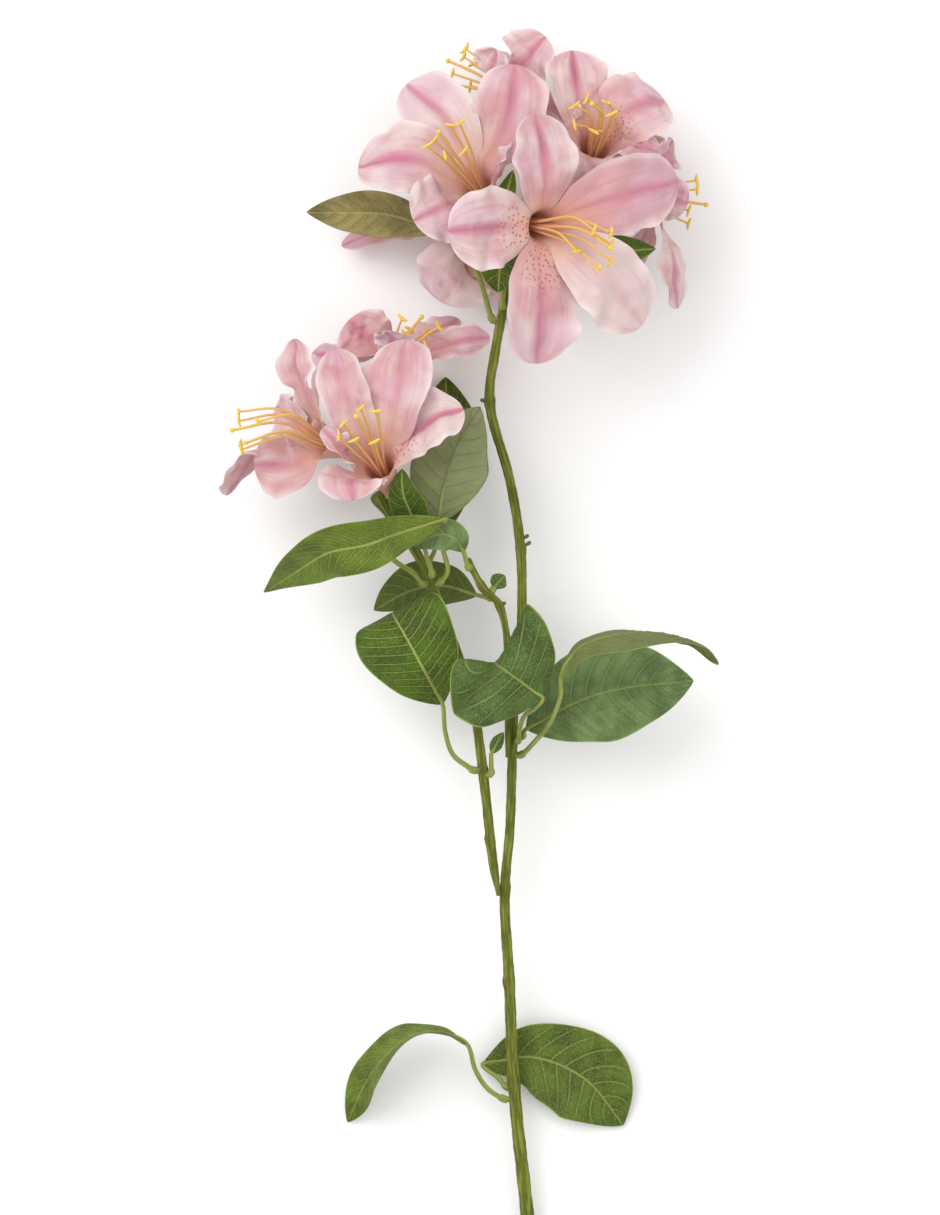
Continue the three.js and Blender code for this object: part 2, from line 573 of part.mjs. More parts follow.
// Stamens and pistil stand on a small disc on the floor of the tube.
function stamenSolid(flower) {
  const { axis, base, reach } = flower;
  const radial = around(axis);
  const floor = TUBE_WALL + GAP;
  const disc = stationsOn([offset(base, axis, floor), offset(base, axis, floor + DISC_HEIGHT)],
    [DISC_RADIUS, DISC_RADIUS], 1);
  let whole = rod(disc, DISC_SIDES);
  for (let i = 0; i <= STAMEN_COUNT; i += 1) {
    const pistil = i === STAMEN_COUNT;
    const lean = radial((i / STAMEN_COUNT) * 2 * Math.PI);
    const length = pistil ? reach + THREAD_STEP : reach - THREAD_STEP * (i % 3);
    const away = pistil ? 0 : 1;
    const at = (height, radius) => offset(offset(base, axis, height), lean, radius * away);
    const path = [
      at(floor + DISC_HEIGHT / 2, 0.7 * DISC_RADIUS), at(TUBE_LENGTH, THREAD_SPREAD[0]),
      at(TUBE_LENGTH + THREAD_BEND * length, THREAD_SPREAD[1]),
      at(TUBE_LENGTH + length, THREAD_SPREAD[2]),
    ];
    whole = whole.add(rod(stationsOn(path, [FILAMENT_RADIUS, FILAMENT_RADIUS], 2), THREAD_SIDES));
    if (!pistil) {
      const cross = lean.clone().applyAxisAngle(axis, ANTHER_TURN);
      const end = path[3];
      const half = ANTHER_LENGTH / 2;
      const ends = ANTHER_END_SHARE * ANTHER_RADIUS;
      const bar = stationsOn([offset(end, cross, -half), end, offset(end, cross, half)],
        [ends, ANTHER_RADIUS, ends], 2);
      whole = whole.add(rod(bar, ANTHER_SIDES));
    }
  }
  return whole;
}

function pedicelSolid(flower) {
  const { axis, base } = flower;
  const { core, coreRadius } = STEMS[flower.truss];
  const end = offset(base, axis, -GAP);
  const under = offset(end, axis, -PEDICEL_STRAIGHT);
  const way = under.clone().sub(core).normalize();
  const start = offset(core, way, coreRadius + GAP);
  const radii = [PEDICEL_ROOT_RADIUS, PEDICEL_RADIUS, PEDICEL_RADIUS, CALYX_RADIUS];
  return rod(stationsOn([start, under, end], radii, 6), PEDICEL_SIDES);
}

// ---------------------------------------------------------------- the whole spray

const group = new THREE.Group();
group.add(meshFrom('main_stem', stemSolid(main, 30), 'stem'));
group.add(meshFrom('left_branch', stemSolid(branch, 18), 'stem'));
group.add(meshFrom('side_twig', stemSolid(twig, 10), 'stem'));
for (const leaf of LEAVES) {
  group.add(meshFrom(leaf.name, leafSolid(leaf), 'leaf'));
}
for (const drawn of FLOWERS) {
  const axis = unit(drawn.axis);
  const growth = axis.clone().multiplyScalar(TUBE_LENGTH - DRAWN_TUBE);
  const throat = place(drawn.throat).add(growth);
  const base = throat.clone().addScaledVector(axis, -TUBE_LENGTH);
  const flower = { ...drawn, axis, growth, throat, base };
  group.add(meshFrom(`${drawn.name}_corolla`, corollaSolid(flower), 'petal'));
  group.add(meshFrom(`${drawn.name}_stamens`, stamenSolid(flower), 'stamen'));
  group.add(meshFrom(`${drawn.name}_pedicel`, pedicelSolid(flower), 'stem'));
}

// The origin is the middle of the spray's footprint, on the surface it lies on.
const box = new THREE.Box3().setFromObject(group);
group.position.set(-(box.min.x + box.max.x) / 2, -(box.min.y + box.max.y) / 2, -box.min.z);

export default group;
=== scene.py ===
"""A cut azalea spray lying on a pale surface: two trusses of pink blooms, leaves and woody stems.

The drawing below is in millimetres, +Y along the stem towards the blooms, +Z up from the surface.
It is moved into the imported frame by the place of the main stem's cut end.
"""
import math

import bmesh
import bpy
import numpy as np
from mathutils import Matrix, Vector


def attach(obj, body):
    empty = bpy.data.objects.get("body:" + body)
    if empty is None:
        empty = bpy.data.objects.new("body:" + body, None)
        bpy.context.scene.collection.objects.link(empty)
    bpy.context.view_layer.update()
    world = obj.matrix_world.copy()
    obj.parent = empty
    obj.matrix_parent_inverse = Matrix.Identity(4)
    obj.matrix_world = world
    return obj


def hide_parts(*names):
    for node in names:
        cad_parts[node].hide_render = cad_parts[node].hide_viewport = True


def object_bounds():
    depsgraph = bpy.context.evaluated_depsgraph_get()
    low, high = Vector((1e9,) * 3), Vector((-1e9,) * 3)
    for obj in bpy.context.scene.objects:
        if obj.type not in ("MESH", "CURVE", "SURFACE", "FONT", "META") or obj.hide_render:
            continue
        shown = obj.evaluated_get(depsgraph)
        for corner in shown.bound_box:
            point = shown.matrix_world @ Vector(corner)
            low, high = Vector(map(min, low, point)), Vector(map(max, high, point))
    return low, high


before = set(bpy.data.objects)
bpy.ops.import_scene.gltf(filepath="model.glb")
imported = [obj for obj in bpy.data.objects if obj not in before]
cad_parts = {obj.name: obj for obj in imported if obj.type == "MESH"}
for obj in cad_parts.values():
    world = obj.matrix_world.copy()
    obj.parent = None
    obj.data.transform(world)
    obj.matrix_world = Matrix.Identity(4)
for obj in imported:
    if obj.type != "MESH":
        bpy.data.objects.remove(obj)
CAD_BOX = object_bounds()

bl_info = {
    "name": "Cut azalea spray",
    "version": (1, 0, 0),
    "blender": (4, 5, 0),
    "location": "3D View > Sidebar > Azalea",
    "description": "Builds a cut azalea spray around its packed frame",
    "category": "Object",
}

MM = 0.001
UP = np.array([0.0, 0.0, 1.0])
BODY = "root"
SEEDS = {"stems": 41, "leaves": 51, "corollas": 81, "stamens": 101, "stalks": 121}

# ---------------------------------------------------------------- the drawing: stems

MAIN_STEM = [
    (16, -48, 4), (11, 0, 9), (7, 34, 13), (5, 62, 16), (4, 92, 19), (2, 126, 23),
    (4, 154, 26), (5, 182, 29), (6, 206, 32), (8.4, 230, 35), (8.4, 264, 39),
    (4, 294, 43), (-4, 324, 47), (-1.5, 348, 51), (2, 366, 54), (6, 386, 56),
]
LEFT_BRANCH = [
    (-3, 142, 28.5), (-5.5, 166, 31), (-8, 187, 33), (-10, 200, 34.5), (-14, 215, 36),
    (-18.5, 228, 37.5), (-25, 247, 40), (-34, 266, 42), (-43, 278, 43), (-48, 288, 44),
]
SIDE_TWIG = [
    (3.5, 200, 37.5), (3, 226, 41), (2, 236, 42), (-1, 245, 43), (-7, 251, 45), (-13, 262, 47),
]
GAP = 0.3  # clearance between neighbouring pieces
BRANCH_START = 127  # how far up the main stem the branch and the twig leave it
TWIG_START = 183
FORK_SIDE = (-0.6, 0, 0.8)
TAPER_END = 0.45  # how far up the main stem it stops tapering
FORK_TAPER = 12  # length over which a side stem thickens from its fork
FORK_THIN = 0.45  # how thin it is there, as a share of its own radius
STEM_SIDES = 30

# How far up each stem its swollen nodes are, and its spurs: height, side, length.
STEM_NODES = {
    "main": [52, 92, 130, 190, 230, 267, 326],
    "branch": [150, 178, 214, 254, 270],
    "twig": [205, 244, 252],
}
STEM_SPURS = {
    "main": [(267, (0.8, 0.6, 0.3), 3.2), (270, (0.9, 0.2, 0.1), 2.4), (325, (-0.9, 0.4, 0.2), 2.2)],
    "branch": [(214, (0.6, 0.6, 0.4), 1.6)],
    "twig": [(243, (0.7, 0.6, 0.3), 1.8)],
}

# ---------------------------------------------------------------- the drawing: leaves


VEIN_SPACING = {"deep": 4.0, "fresh": 5.4, "blue": 5.0}  # millimetres between side veins
WIDE_SPACING = 6.6  # and on leaves of every other finish


def leaf(name, stem, at, side, petiole, blade, half, roll=(0, 0), widest=0.48, finish="deep"):
    """stem and at: where it grows. blade: points on the midrib. half: half the width. roll: its turn."""
    return dict(name=name, stem=stem, at=at, side=side, petiole=petiole, blade=blade,
                half=half, roll=roll, widest=widest, finish=finish,
                spacing=VEIN_SPACING.get(finish, WIDE_SPACING))


LEAVES = [
    leaf("truss_leaf_left", "main", 358, (-0.9, 0.2, 0.2),
         [(-7, 371, 54), (-11, 381, 52), (-19, 391, 47)],
         [(-24, 393.5, 44), (-46, 401, 40), (-78, 402.5, 30)], 9.5, (-15, -20), finish="bronze"),
    leaf("truss_leaf_right", "main", 368, (1, 0.1, 0.1), [(10, 373, 56)],
         [(17, 379, 59), (38, 384, 62), (62, 386, 60)], 8, (10, 10)),
    leaf("truss_leaf_low", "main", 364, (-0.2, 0, 1), [(2, 374, 64), (5, 386, 69)],
         [(3, 388, 71), (0, 379, 73), (-1, 368, 70)], 8),
    leaf("truss_bract", "main", 374, (-0.8, 0.2, 0.7), [(-3, 384, 62)],
         [(-2, 396, 68), (2, 406, 76), (5, 416, 80)], 4),
    leaf("branch_leaf_under_bloom", "branch", 256, (0.1, 0.6, 0.8), [(-29, 262, 47)],
         [(-30, 266, 50), (-34, 277, 60), (-38.5, 288, 70), (-39, 298, 75)], 7, (0, 0), 0.6),
    leaf("branch_leaf_tall", "branch", 252, (0.9, 0.2, 0.6), [(-21, 258, 46), (-23, 267, 50)],
         [(-25, 276, 54), (-22.5, 291, 60), (-17.5, 307, 62), (-8, 323, 60)], 15.5, (180, 180),
         finish="grey"),
    leaf("branch_leaf_back", "branch", 258, (0.3, 0.3, -0.9), [(-28, 262, 35)],
         [(-26, 267, 33), (-21, 300, 24), (-22, 337, 3)], 13, (0, 0), 0.6),
    leaf("branch_leaf_left", "branch", 254, (-0.9, 0.2, 0.5),
         [(-35, 257, 47), (-43, 263, 57), (-38, 270, 64)],
         [(-21, 278, 68), (-39, 273, 70), (-53, 268, 69), (-68, 265, 64), (-79, 259, 54),
          (-95, 249, 38)],
         11.5, (-10, -60), 0.55, finish="fresh"),
    leaf("branch_leaf_broad", "branch", 178, (-0.9, 0.1, 0.4),
         [(-13, 179, 34), (-19, 184, 36), (-22, 193, 38)],
         [(-23, 204, 41), (-30, 217, 48), (-37, 230, 51), (-42, 238.5, 46), (-43.5, 241, 32)],
         20, (0, 0), 0.62),
    leaf("branch_leaf_small", "branch", 176, (0.7, 0.3, 0.6), [(-3.5, 180, 36)],
         [(-3.5, 184, 38), (-1, 189, 40), (1.5, 193, 41)], 2.6, finish="blue"),
    leaf("twig_leaf_end", "twig", 260, (-0.5, 0.6, 0.6), [],
         [(-14.5, 265, 53), (-18, 270.5, 59), (-25, 272, 61), (-35, 267, 58)], 6.5, (0, -20),
         finish="broad"),
    leaf("twig_leaf_back", "twig", 247, (-0.4, 0, -0.9), [(-5, 247, 36)],
         [(-9, 248, 31), (-22, 252, 27), (-36, 250, 25), (-51, 242, 20)], 11, (150, 160),
         finish="blue"),
    leaf("twig_leaf_small", "twig", 248, (0.8, 0, -0.6), [],
         [(-2.5, 250.5, 40), (-0.5, 253.5, 39), (2, 256, 38)], 3.6, finish="blue"),
    leaf("whorl_leaf_centre", "main", 190, (0.6, 0.2, 1), [(8, 195, 42), (10, 200, 52), (14, 203, 59)],
         [(17, 207, 62), (9, 213, 68), (2, 218, 70), (-1.5, 220.5, 64), (-2, 221, 50)],
         26.5, (0, 0), 0.6, finish="blue"),
    leaf("whorl_leaf_right", "main", 191, (1, 0, -0.2), [],
         [(10.5, 194, 33), (33, 206, 42), (52, 211, 43), (78, 213.5, 34)], 19.5, finish="broad"),
    leaf("whorl_leaf_arching", "main", 184, (1, 0.1, 0.3),
         [(13, 188, 38), (20, 197, 50), (24, 208, 64)],
         [(24, 215, 70), (33, 228, 78), (57, 233, 78), (77, 229, 69), (87, 220, 57)],
         14, (115, 60), finish="olive"),
    leaf("foot_leaf_left", "main", 44, (-1, 0.1, 0.2), [(-5, 48, 16), (-10, 56, 19)],
         [(-13, 66, 22), (-24, 72, 26), (-38, 69, 26), (-52, 54, 17), (-62, 33, 2)],
         11.5, (85, 10), finish="olive"),
    leaf("foot_leaf_right", "main", 48, (-0.6, 0, -0.7), [(-1, 52, 8)],
         [(-7, 57, 6.5), (14, 60, 8), (35, 51, 8), (50.5, 32, 3)], 18.5, (0, 0), 0.62,
         finish="moss"),
]

# ---------------------------------------------------------------- the drawing: flowers


def petal(mid, tip, half, roll=0, settle=1.0, speckled=0.0, streak=1.0, cup=0.12, blush=0.5):
    """mid and tip: points on the midrib. half: half the width. roll: turn at the tip, reached at settle."""
    return dict(mid=mid, tip=tip, half=half, roll=roll, settle=settle, speckled=speckled,
                streak=streak, cup=cup, blush=blush)


def flower(name, truss, throat, axis, reach, petals, sweep=(0, 0, 0), arch=(0, 0, 0)):
    """axis: the way it faces. reach: how far the stamens stand out. sweep and arch: how far they
    bend aside at their ends and at their middles."""
    return dict(name=name, truss=truss, throat=throat, axis=axis, reach=reach, petals=petals,
                sweep=sweep, arch=arch)


FLOWERS = [
    flower("top_front", "main", (16, 394, 78), (0.5, -0.15, 0.85), 34, [
        petal((18, 415, 92), (14, 437, 93), 14, streak=1.2),
        petal((46, 405, 81), (71, 412, 70), 16, blush=0.9),
        petal((39, 376, 81), (57, 355, 69), 16, streak=0.3, blush=0.1),
        petal((16, 365, 88), (15, 339, 82), 16.5, speckled=1, blush=0.6),
        petal((-3, 392, 97), (-20, 390, 106), 16.5, speckled=1, blush=0.3, streak=1.3),
    ], (8, -5, -4), (2, 2, 3)),
    flower("top_left", "main", (-9, 410, 66), (-0.42, 0.53, 0.74), 34, [
        petal((3, 438, 67), (6, 460, 59), 15, 35, 0.5, blush=0.7),
        petal((-22, 438, 62), (-38, 453, 48), 13.5, blush=0.3),
        petal((-34, 421, 69), (-57, 419, 62), 16, streak=1.3, blush=0.5),
        petal((-21, 402, 79), (-34, 396, 85), 14, -55, 0.5, blush=0.2),
        petal((-1, 415, 79), (4, 426, 85), 7, 0, 0, speckled=1.3, blush=0.6, streak=0.2),
    ]),
    flower("top_right", "main", (38, 427, 52), (0.15, 0.55, 0.82), 32, [
        petal((31, 449, 55), (29, 467, 45), 12.5, streak=1.3),
        petal((51, 441, 58), (66, 447, 50), 16, speckled=1, blush=0.6),
        petal((52, 427, 62), (63, 425, 64), 9, blush=0.6),
        petal((36, 420, 64), (43, 410, 67), 12, blush=0.2),
        petal((26, 436, 57), (21, 450, 48), 8),
    ], (-7, -4, 0), (2, 2, 2)),
    flower("top_back", "main", (2, 452, 30), (-0.8, 0.4, -0.45), 26, [
        petal((8, 461, 40), (18, 472, 44), 13, 80, 0.5, streak=1.2),
        petal((-3, 458, 43), (-2, 466, 50), 10, 80, 0.5),
        petal((-3, 457, 15), (5, 461, 3), 11),
        petal((-6, 442, 14), (2, 432, 2), 11),
        petal((-8, 441, 34), (-6, 428, 36), 10),
    ]),
    flower("right_back", "main", (60, 408, 44), (0.937, -0.11, -0.33), 20, [
        petal((64, 421, 50), (70, 430, 47), 8, -65, 0.5),
        petal((66, 407, 56), (75, 404, 58), 9),
        petal((67, 388, 50), (72, 363, 44), 9.5, 65, 0.5, speckled=1, blush=0.3),
        petal((62, 420, 28), (60, 430, 12), 11),
        petal((60, 396, 24), (54, 386, 2), 11),
    ]),
    flower("left_back", "main", (-9, 386, 22), (-0.35, -0.1, -0.93), 15, [
        petal((-16, 381, 31), (-24, 366, 33), 16, streak=0.4, blush=0.1),
        petal((-34, 401, 17), (-64, 390, 9), 7, blush=0.9),
        petal((-13, 408, 14), (-17, 424, 2), 12),
        petal((10, 398, 13), (25, 404, 2), 11),
        petal((4, 374, 14), (14, 360, 3), 11),
    ]),
    flower("low_front", "branch", (-48, 299, 74), (-0.27, 0.5, 0.83), 34, [
        petal((-60.5, 324, 81), (-66, 346, 72), 9.8, streak=0.4),
        petal((-41, 327, 82), (-38, 350, 72), 14.5, streak=0.6, blush=0.6),
        petal((-30, 315, 86), (-15, 322, 87), 13, speckled=1, blush=0.1, streak=1.3),
        petal((-58, 293, 89), (-58, 286, 97), 13.5, blush=0.7),
        petal((-63, 307, 87), (-70, 314, 88), 6.5),
    ]),
    flower("low_left", "branch", (-70, 309, 54), (-0.9, 0.15, 0.4), 36, [
        petal((-79, 331, 62), (-83, 350, 60), 9, 30),
        petal((-74, 329, 34), (-76, 339, 18), 9),
        petal((-85, 300, 52), (-99, 300, 47), 12.5, -60, 0.6, blush=0.6),
        petal((-97, 305, 40), (-111, 289, 24), 9, 60, 0.5, blush=0.7),
        petal((-82, 317, 32), (-92, 325, 3), 9),
    ], (-2, -1, -4), (2, 5, 3)),
    flower("low_back", "branch", (-42, 340, 36), (0.22, 0.9, 0.3), 18, [
        petal((-52, 350, 33), (-61, 359, 32), 12, -60, 0.5, blush=0.9),
        petal((-59, 343, 30), (-76, 346, 26), 8, -30),
        petal((-24, 348, 40), (-4, 352, 38), 8, 50, 0.6, blush=0.8),
        petal((-30, 351, 22), (-17, 361, 14), 8),
        petal((-42, 346, 52), (-45, 354, 60), 9),
    ], (6, 0, 4), (1, 2, 2)),
]

# ---------------------------------------------------------------- sizes and colours


def length(label, note, default):
    """A size in metres."""
    return bpy.props.FloatProperty(name=label, description=note, default=default, unit="LENGTH",
                                   precision=5)


def tint(label, note, shade):
    """A colour given as six hexadecimal digits."""
    parts = [int(shade[k:k + 2], 16) / 255 for k in (0, 2, 4)]
    linear = [c / 12.92 if c <= 0.04045 else ((c + 0.055) / 1.055) ** 2.4 for c in parts]
    return bpy.props.FloatVectorProperty(name=label, description=note, default=linear, size=3,
                                         min=0, max=1, subtype="COLOR")


class SpraySizes(bpy.types.PropertyGroup):
    """The sizes of the spray's pieces."""

    stem_cut_radius: length("Stem cut radius", "Main stem at its cut end", 0.0030)
    stem_top_radius: length("Stem top radius", "Main stem above its taper", 0.0019)
    branch_radius: length("Branch radius", "Side branch", 0.0019)
    twig_radius: length("Twig radius", "Leafy twig", 0.0014)
    core_radius: length("Core radius", "Swollen stem end that the flower stalks leave", 0.0042)
    node_swell: length("Node swell", "How far a node stands out of its stem", 0.0004)
    petiole_radius: length("Petiole radius", "Leaf stalk", 0.0011)
    leaf_thickness: length("Leaf thickness", "Leaf blade", 0.0007)
    vein_depth: length("Vein depth", "How deep the leaf veins lie", 0.0004)
    pedicel_radius: length("Pedicel radius", "Flower stalk", 0.0010)
    calyx_radius: length("Calyx radius", "Flare of the flower stalk under the corolla", 0.0026)
    tube_length: length("Tube length", "Corolla tube from its base to the throat", 0.0220)
    tube_base_radius: length("Tube base radius", "Corolla tube at its base", 0.0030)
    throat_radius: length("Throat radius", "Corolla tube where the petals part", 0.0066)
    claw_rise: length("Claw rise", "How far a petal rises past the throat before it opens", 0.0030)
    petal_thickness: length("Petal thickness", "Petal at its middle", 0.0006)
    petal_ruffle: length("Petal ruffle", "Height of the waves along a petal's edge", 0.0014)
    filament_radius: length("Filament radius", "Stamen thread", 0.00062)
    anther_length: length("Anther length", "Bar at the end of a stamen", 0.0052)
    anther_radius: length("Anther radius", "Bar at the end of a stamen", 0.0008)


class SprayTints(bpy.types.PropertyGroup):
    """The colours of the spray's pieces."""

    petal_pale: tint("Petal pale", "Open part of a petal", "E4D2CF")
    petal_pink: tint("Petal pink", "Blushed part of a petal", "D5A4A8")
    petal_peach: tint("Petal peach", "Lower part of a petal", "E2A68C")
    petal_lilac: tint("Petal lilac", "Cool patches towards the tips", "DDB9CF")
    petal_rim: tint("Petal rim", "Thin pale margin", "F3E9E8")
    petal_streak: tint("Petal streak", "Band along a petal's midrib", "CB7F97")
    petal_throat: tint("Petal throat", "Inside of the tube", "C67A48")
    petal_deep: tint("Petal deep", "Bottom of the tube", "57471A")
    petal_speckle: tint("Petal speckle", "Guide spots near the throat", "B4474A")
    filament_base: tint("Filament base", "Stamen thread in the tube", "E8B28A")
    filament_tip: tint("Filament tip", "Stamen thread under the anther", "E6BC62")
    anther: tint("Anther", "Pollen bar", "E3CE34")
    leaf_deep: tint("Leaf deep", "Saturated dark leaf", "3C5A06")
    leaf_fresh: tint("Leaf fresh", "Mid-green leaf", "5B711C")
    leaf_blue: tint("Leaf blue", "Blue-grey green leaf", "425D2A")
    leaf_broad: tint("Leaf broad", "Lighter broad leaf", "668250")
    leaf_moss: tint("Leaf moss", "Dark mossy leaf", "4C611D")
    # Painted shade: a leaf back darkened to stand for the shadow that the twig's back leaf lies in; every
    # blue leaf takes it for its back.
    leaf_back_painted_shade: tint("Leaf shade", "Darker leaf back", "5D6C30")
    leaf_olive: tint("Leaf olive", "Olive leaf back", "75804C")
    leaf_grey: tint("Leaf grey", "Grey-green leaf back", "929C6C")
    leaf_bronze: tint("Leaf bronze", "Brownish leaf", "8C7A50")
    leaf_vein: tint("Leaf vein", "Pale veins", "AEB965")
    stem_green: tint("Stem green", "Bark between the ridges", "575E18")
    stem_light: tint("Stem light", "Ridges of the bark", "7F8636")
    stem_brown: tint("Stem brown", "Nodes and scars", "5E4E22")
    stalk_green: tint("Stalk green", "Leaf and flower stalks", "98A35A")
    pith: tint("Pith", "Cut face of the stem", "CFC79A")
    floor: tint("Floor", "Plain pale surface", "F7F7F7")


def size_of(name):
    """A size in millimetres."""
    return getattr(bpy.context.scene.azalea_sizes, name) / MM


def tint_of(name):
    """A colour as three linear numbers."""
    return tuple(getattr(bpy.context.scene.azalea_tints, name))


def scaled(colour, share):
    """A colour made lighter or darker."""
    return tuple(c * share for c in colour)


# ---------------------------------------------------------------- lines and frames


def unit(way):
    """way at length 1."""
    way = np.asarray(way, float)
    return way / np.maximum(np.linalg.norm(way, axis=-1, keepdims=True), 1e-9)


def square_to(way, along):
    """The part of way that is square to along, at length 1."""
    way = np.asarray(way, float)
    return unit(way - np.sum(way * along, -1, keepdims=True) * along)


def mix(a, b, share):
    """a at share 0, b at share 1."""
    return a + (b - a) * share


def ease(low, high, value):
    """0 below low, 1 above high, smooth between."""
    t = np.clip((value - low) / (high - low), 0, 1)
    return t * t * (3 - 2 * t)


def soft_noise(rng, share, across, waves):
    """Gentle random hills over a sheet, with so many of them along and across it."""
    heights = rng.normal(0, 1, (waves[0] + 2, waves[1] + 2))
    u = np.clip(share, 0, 1) * waves[0]
    v = (np.clip(across, -1, 1) + 1) / 2 * waves[1]
    i, j = np.floor(u).astype(int), np.floor(v).astype(int)
    a, b = u - i, v - j
    a, b = a * a * (3 - 2 * a), b * b * (3 - 2 * b)
    near = mix(heights[i, j], heights[i, j + 1], b)
    return mix(near, mix(heights[i + 1, j], heights[i + 1, j + 1], b), a)


def turned(way, along, angle):
    """way turned about along, both unit vectors, by an angle in radians."""
    angle = np.asarray(angle, float)[..., None]
    return way * np.cos(angle) + np.cross(along, way) * np.sin(angle)


class Line:
    """A smooth line through points, measured by its own length from 0 to 1."""

    STEPS = 60  # between two of its points
    REACH = 0.006  # how far to both sides its way is taken

    def __init__(self, points):
        p = np.array(points, float)
        p = np.vstack([2 * p[0] - p[1], p, 2 * p[-1] - p[-2]])
        t = np.linspace(0, 1, self.STEPS, endpoint=False)[:, None]
        parts = [
            0.5 * (2 * b + (c - a) * t + (2 * a - 5 * b + 4 * c - d) * t ** 2
                   + (3 * b - a - 3 * c + d) * t ** 3)
            for a, b, c, d in zip(p, p[1:], p[2:], p[3:])
        ]
        self.points = np.vstack(parts + [p[-2:-1]])
        steps = np.linalg.norm(np.diff(self.points, axis=0), axis=1)
        self.run = np.concatenate([[0], np.cumsum(steps)])
        self.length = self.run[-1]

    def at(self, share):
        """The point at a share of the length."""
        run = np.asarray(share, float) * self.length
        return np.stack([np.interp(run, self.run, self.points[:, k]) for k in range(3)], -1)

    def along(self, share):
        """The line's way at a share of the length."""
        share = np.asarray(share, float)
        after = np.minimum(share + self.REACH, 1)
        before = np.maximum(share - self.REACH, 0)
        return unit(self.at(after) - self.at(before))

    def share_at_height(self, height):
        """Where the line passes a height up the spray."""
        return float(np.interp(height, self.points[:, 1], self.run) / self.length)


def carried_frames(line, shares):
    """Sideways directions that turn as little as they can along a line."""
    ways = line.along(shares)
    start = np.array([1.0, 0, 0]) if abs(ways[0][2]) > 0.9 else UP
    across = []
    for way in ways:
        start = square_to(start, way)
        across.append(start)
    across = np.array(across)
    return across, np.cross(ways, across)


# ---------------------------------------------------------------- pieces from points

SHARP_FROM = math.radians(80)  # faces that meet more sharply than this keep a crisp edge
VALUES = ("along", "across", "gap", "run", "side", "mark", "streak", "blush", "seed")


class Shape:
    """Gathers the points, faces and surface values of one piece, in the drawing's millimetres."""

    def __init__(self):
        self.points = []
        self.faces = []
        self.finishes = []
        self.values = {name: [] for name in VALUES}
        self.count = 0

    def add_grid(self, points, finish, flip=False, closed=False, **values):
        """A grid of points; it faces along the rows' way crossed with the columns' way."""
        rows, columns = points.shape[:2]
        index = self.count + np.arange(rows * columns).reshape(rows, columns)
        after = np.roll(index, -1, axis=1) if closed else index[:, 1:]
        here = index if closed else index[:, :-1]
        corners = [here[:-1], here[1:], after[1:], after[:-1]]
        if flip:
            corners.reverse()
        faces = np.stack(corners, -1).reshape(-1, 4)
        self.points.append(points.reshape(-1, 3))
        self.faces.append(faces)
        self.finishes.append(np.full(len(faces), finish))
        for name in VALUES:
            value = np.broadcast_to(values.get(name, 0.0), (rows, columns))
            self.values[name].append(value.reshape(-1))
        self.count += rows * columns

    def add_sheet(self, middle, facing, thick, finish, **values):
        """A thin two-sided sheet; where its thickness is nothing its two faces meet."""
        lift = facing * thick[..., None] / 2
        self.add_grid(middle + lift, finish, side=1.0, **values)
        self.add_grid(middle - lift, finish, flip=True, side=0.0, **values)

    def add_tube(self, line, shares, radii, finish, sides=16, **values):
        """A round tube closed at both ends; radii is one row of numbers for each share."""
        across, facing = carried_frames(line, shares)
        turn = np.linspace(0, 2 * math.pi, sides, endpoint=False)
        radii = np.asarray(radii, float).reshape(len(shares), -1)
        radii = np.broadcast_to(radii, (len(shares), sides))
        ring = across[:, None] * np.cos(turn)[:, None] + facing[:, None] * np.sin(turn)[:, None]
        points = line.at(shares)[:, None] + ring * radii[..., None]
        points = np.concatenate([
            np.repeat(line.at(shares[:1])[:, None], sides, 1), points,
            np.repeat(line.at(shares[-1:])[:, None], sides, 1)])
        run = np.concatenate([shares[:1], shares, shares[-1:]])[:, None]
        held = {"along": run, "across": turn[None] / math.pi, "run": run * line.length, **values}
        self.add_grid(points, finish, flip=True, closed=True, **held)

    def build(self, name, materials):
        """One object of the whole shape, with the points that coincide joined."""
        mesh = bpy.data.meshes.new(name)
        points = (np.concatenate(self.points) + SHIFT) * MM
        faces = np.concatenate(self.faces)
        mesh.from_pydata(points.tolist(), [], faces.tolist())
        for value in VALUES:
            layer = mesh.attributes.new(value, "FLOAT", "POINT")
            layer.data.foreach_set("value", np.concatenate(self.values[value]).astype(np.float32))
        mesh.polygons.foreach_set("material_index", np.concatenate(self.finishes).astype(np.int32))
        for material in materials:
            mesh.materials.append(material)
        work = bmesh.new()
        work.from_mesh(mesh)
        bmesh.ops.remove_doubles(work, verts=work.verts, dist=2e-6)
        for face in work.faces:
            face.smooth = True
        work.normal_update()
        for edge in work.edges:
            edge.smooth = edge.calc_face_angle(0.0) < SHARP_FROM
        work.to_mesh(mesh)
        work.free()
        made = bpy.data.objects.new(name, mesh)
        bpy.context.scene.collection.objects.link(made)
        return made


def cut_end_shift():
    """From the drawing's place to the frame's, in millimetres, by the main stem's cut end."""
    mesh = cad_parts["main_stem"].data
    points = np.array([tuple(v.co) for v in mesh.vertices]) / MM
    ring = np.unique(np.round(points, 3), axis=0)
    ring = ring[np.argsort(ring[:, 1])][:9]
    return ring.mean(0) - np.array(MAIN_STEM[0], float)


SHIFT = cut_end_shift()


def piece_rng(group, k):
    """The random numbers of the piece that comes at place k in its group."""
    return np.random.default_rng(SEEDS[group] + k)


def settle_piece(made, node):
    """Every piece rides on the one body and stands for its CAD node."""
    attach(made, BODY)
    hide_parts(node)


# ---------------------------------------------------------------- material nodes


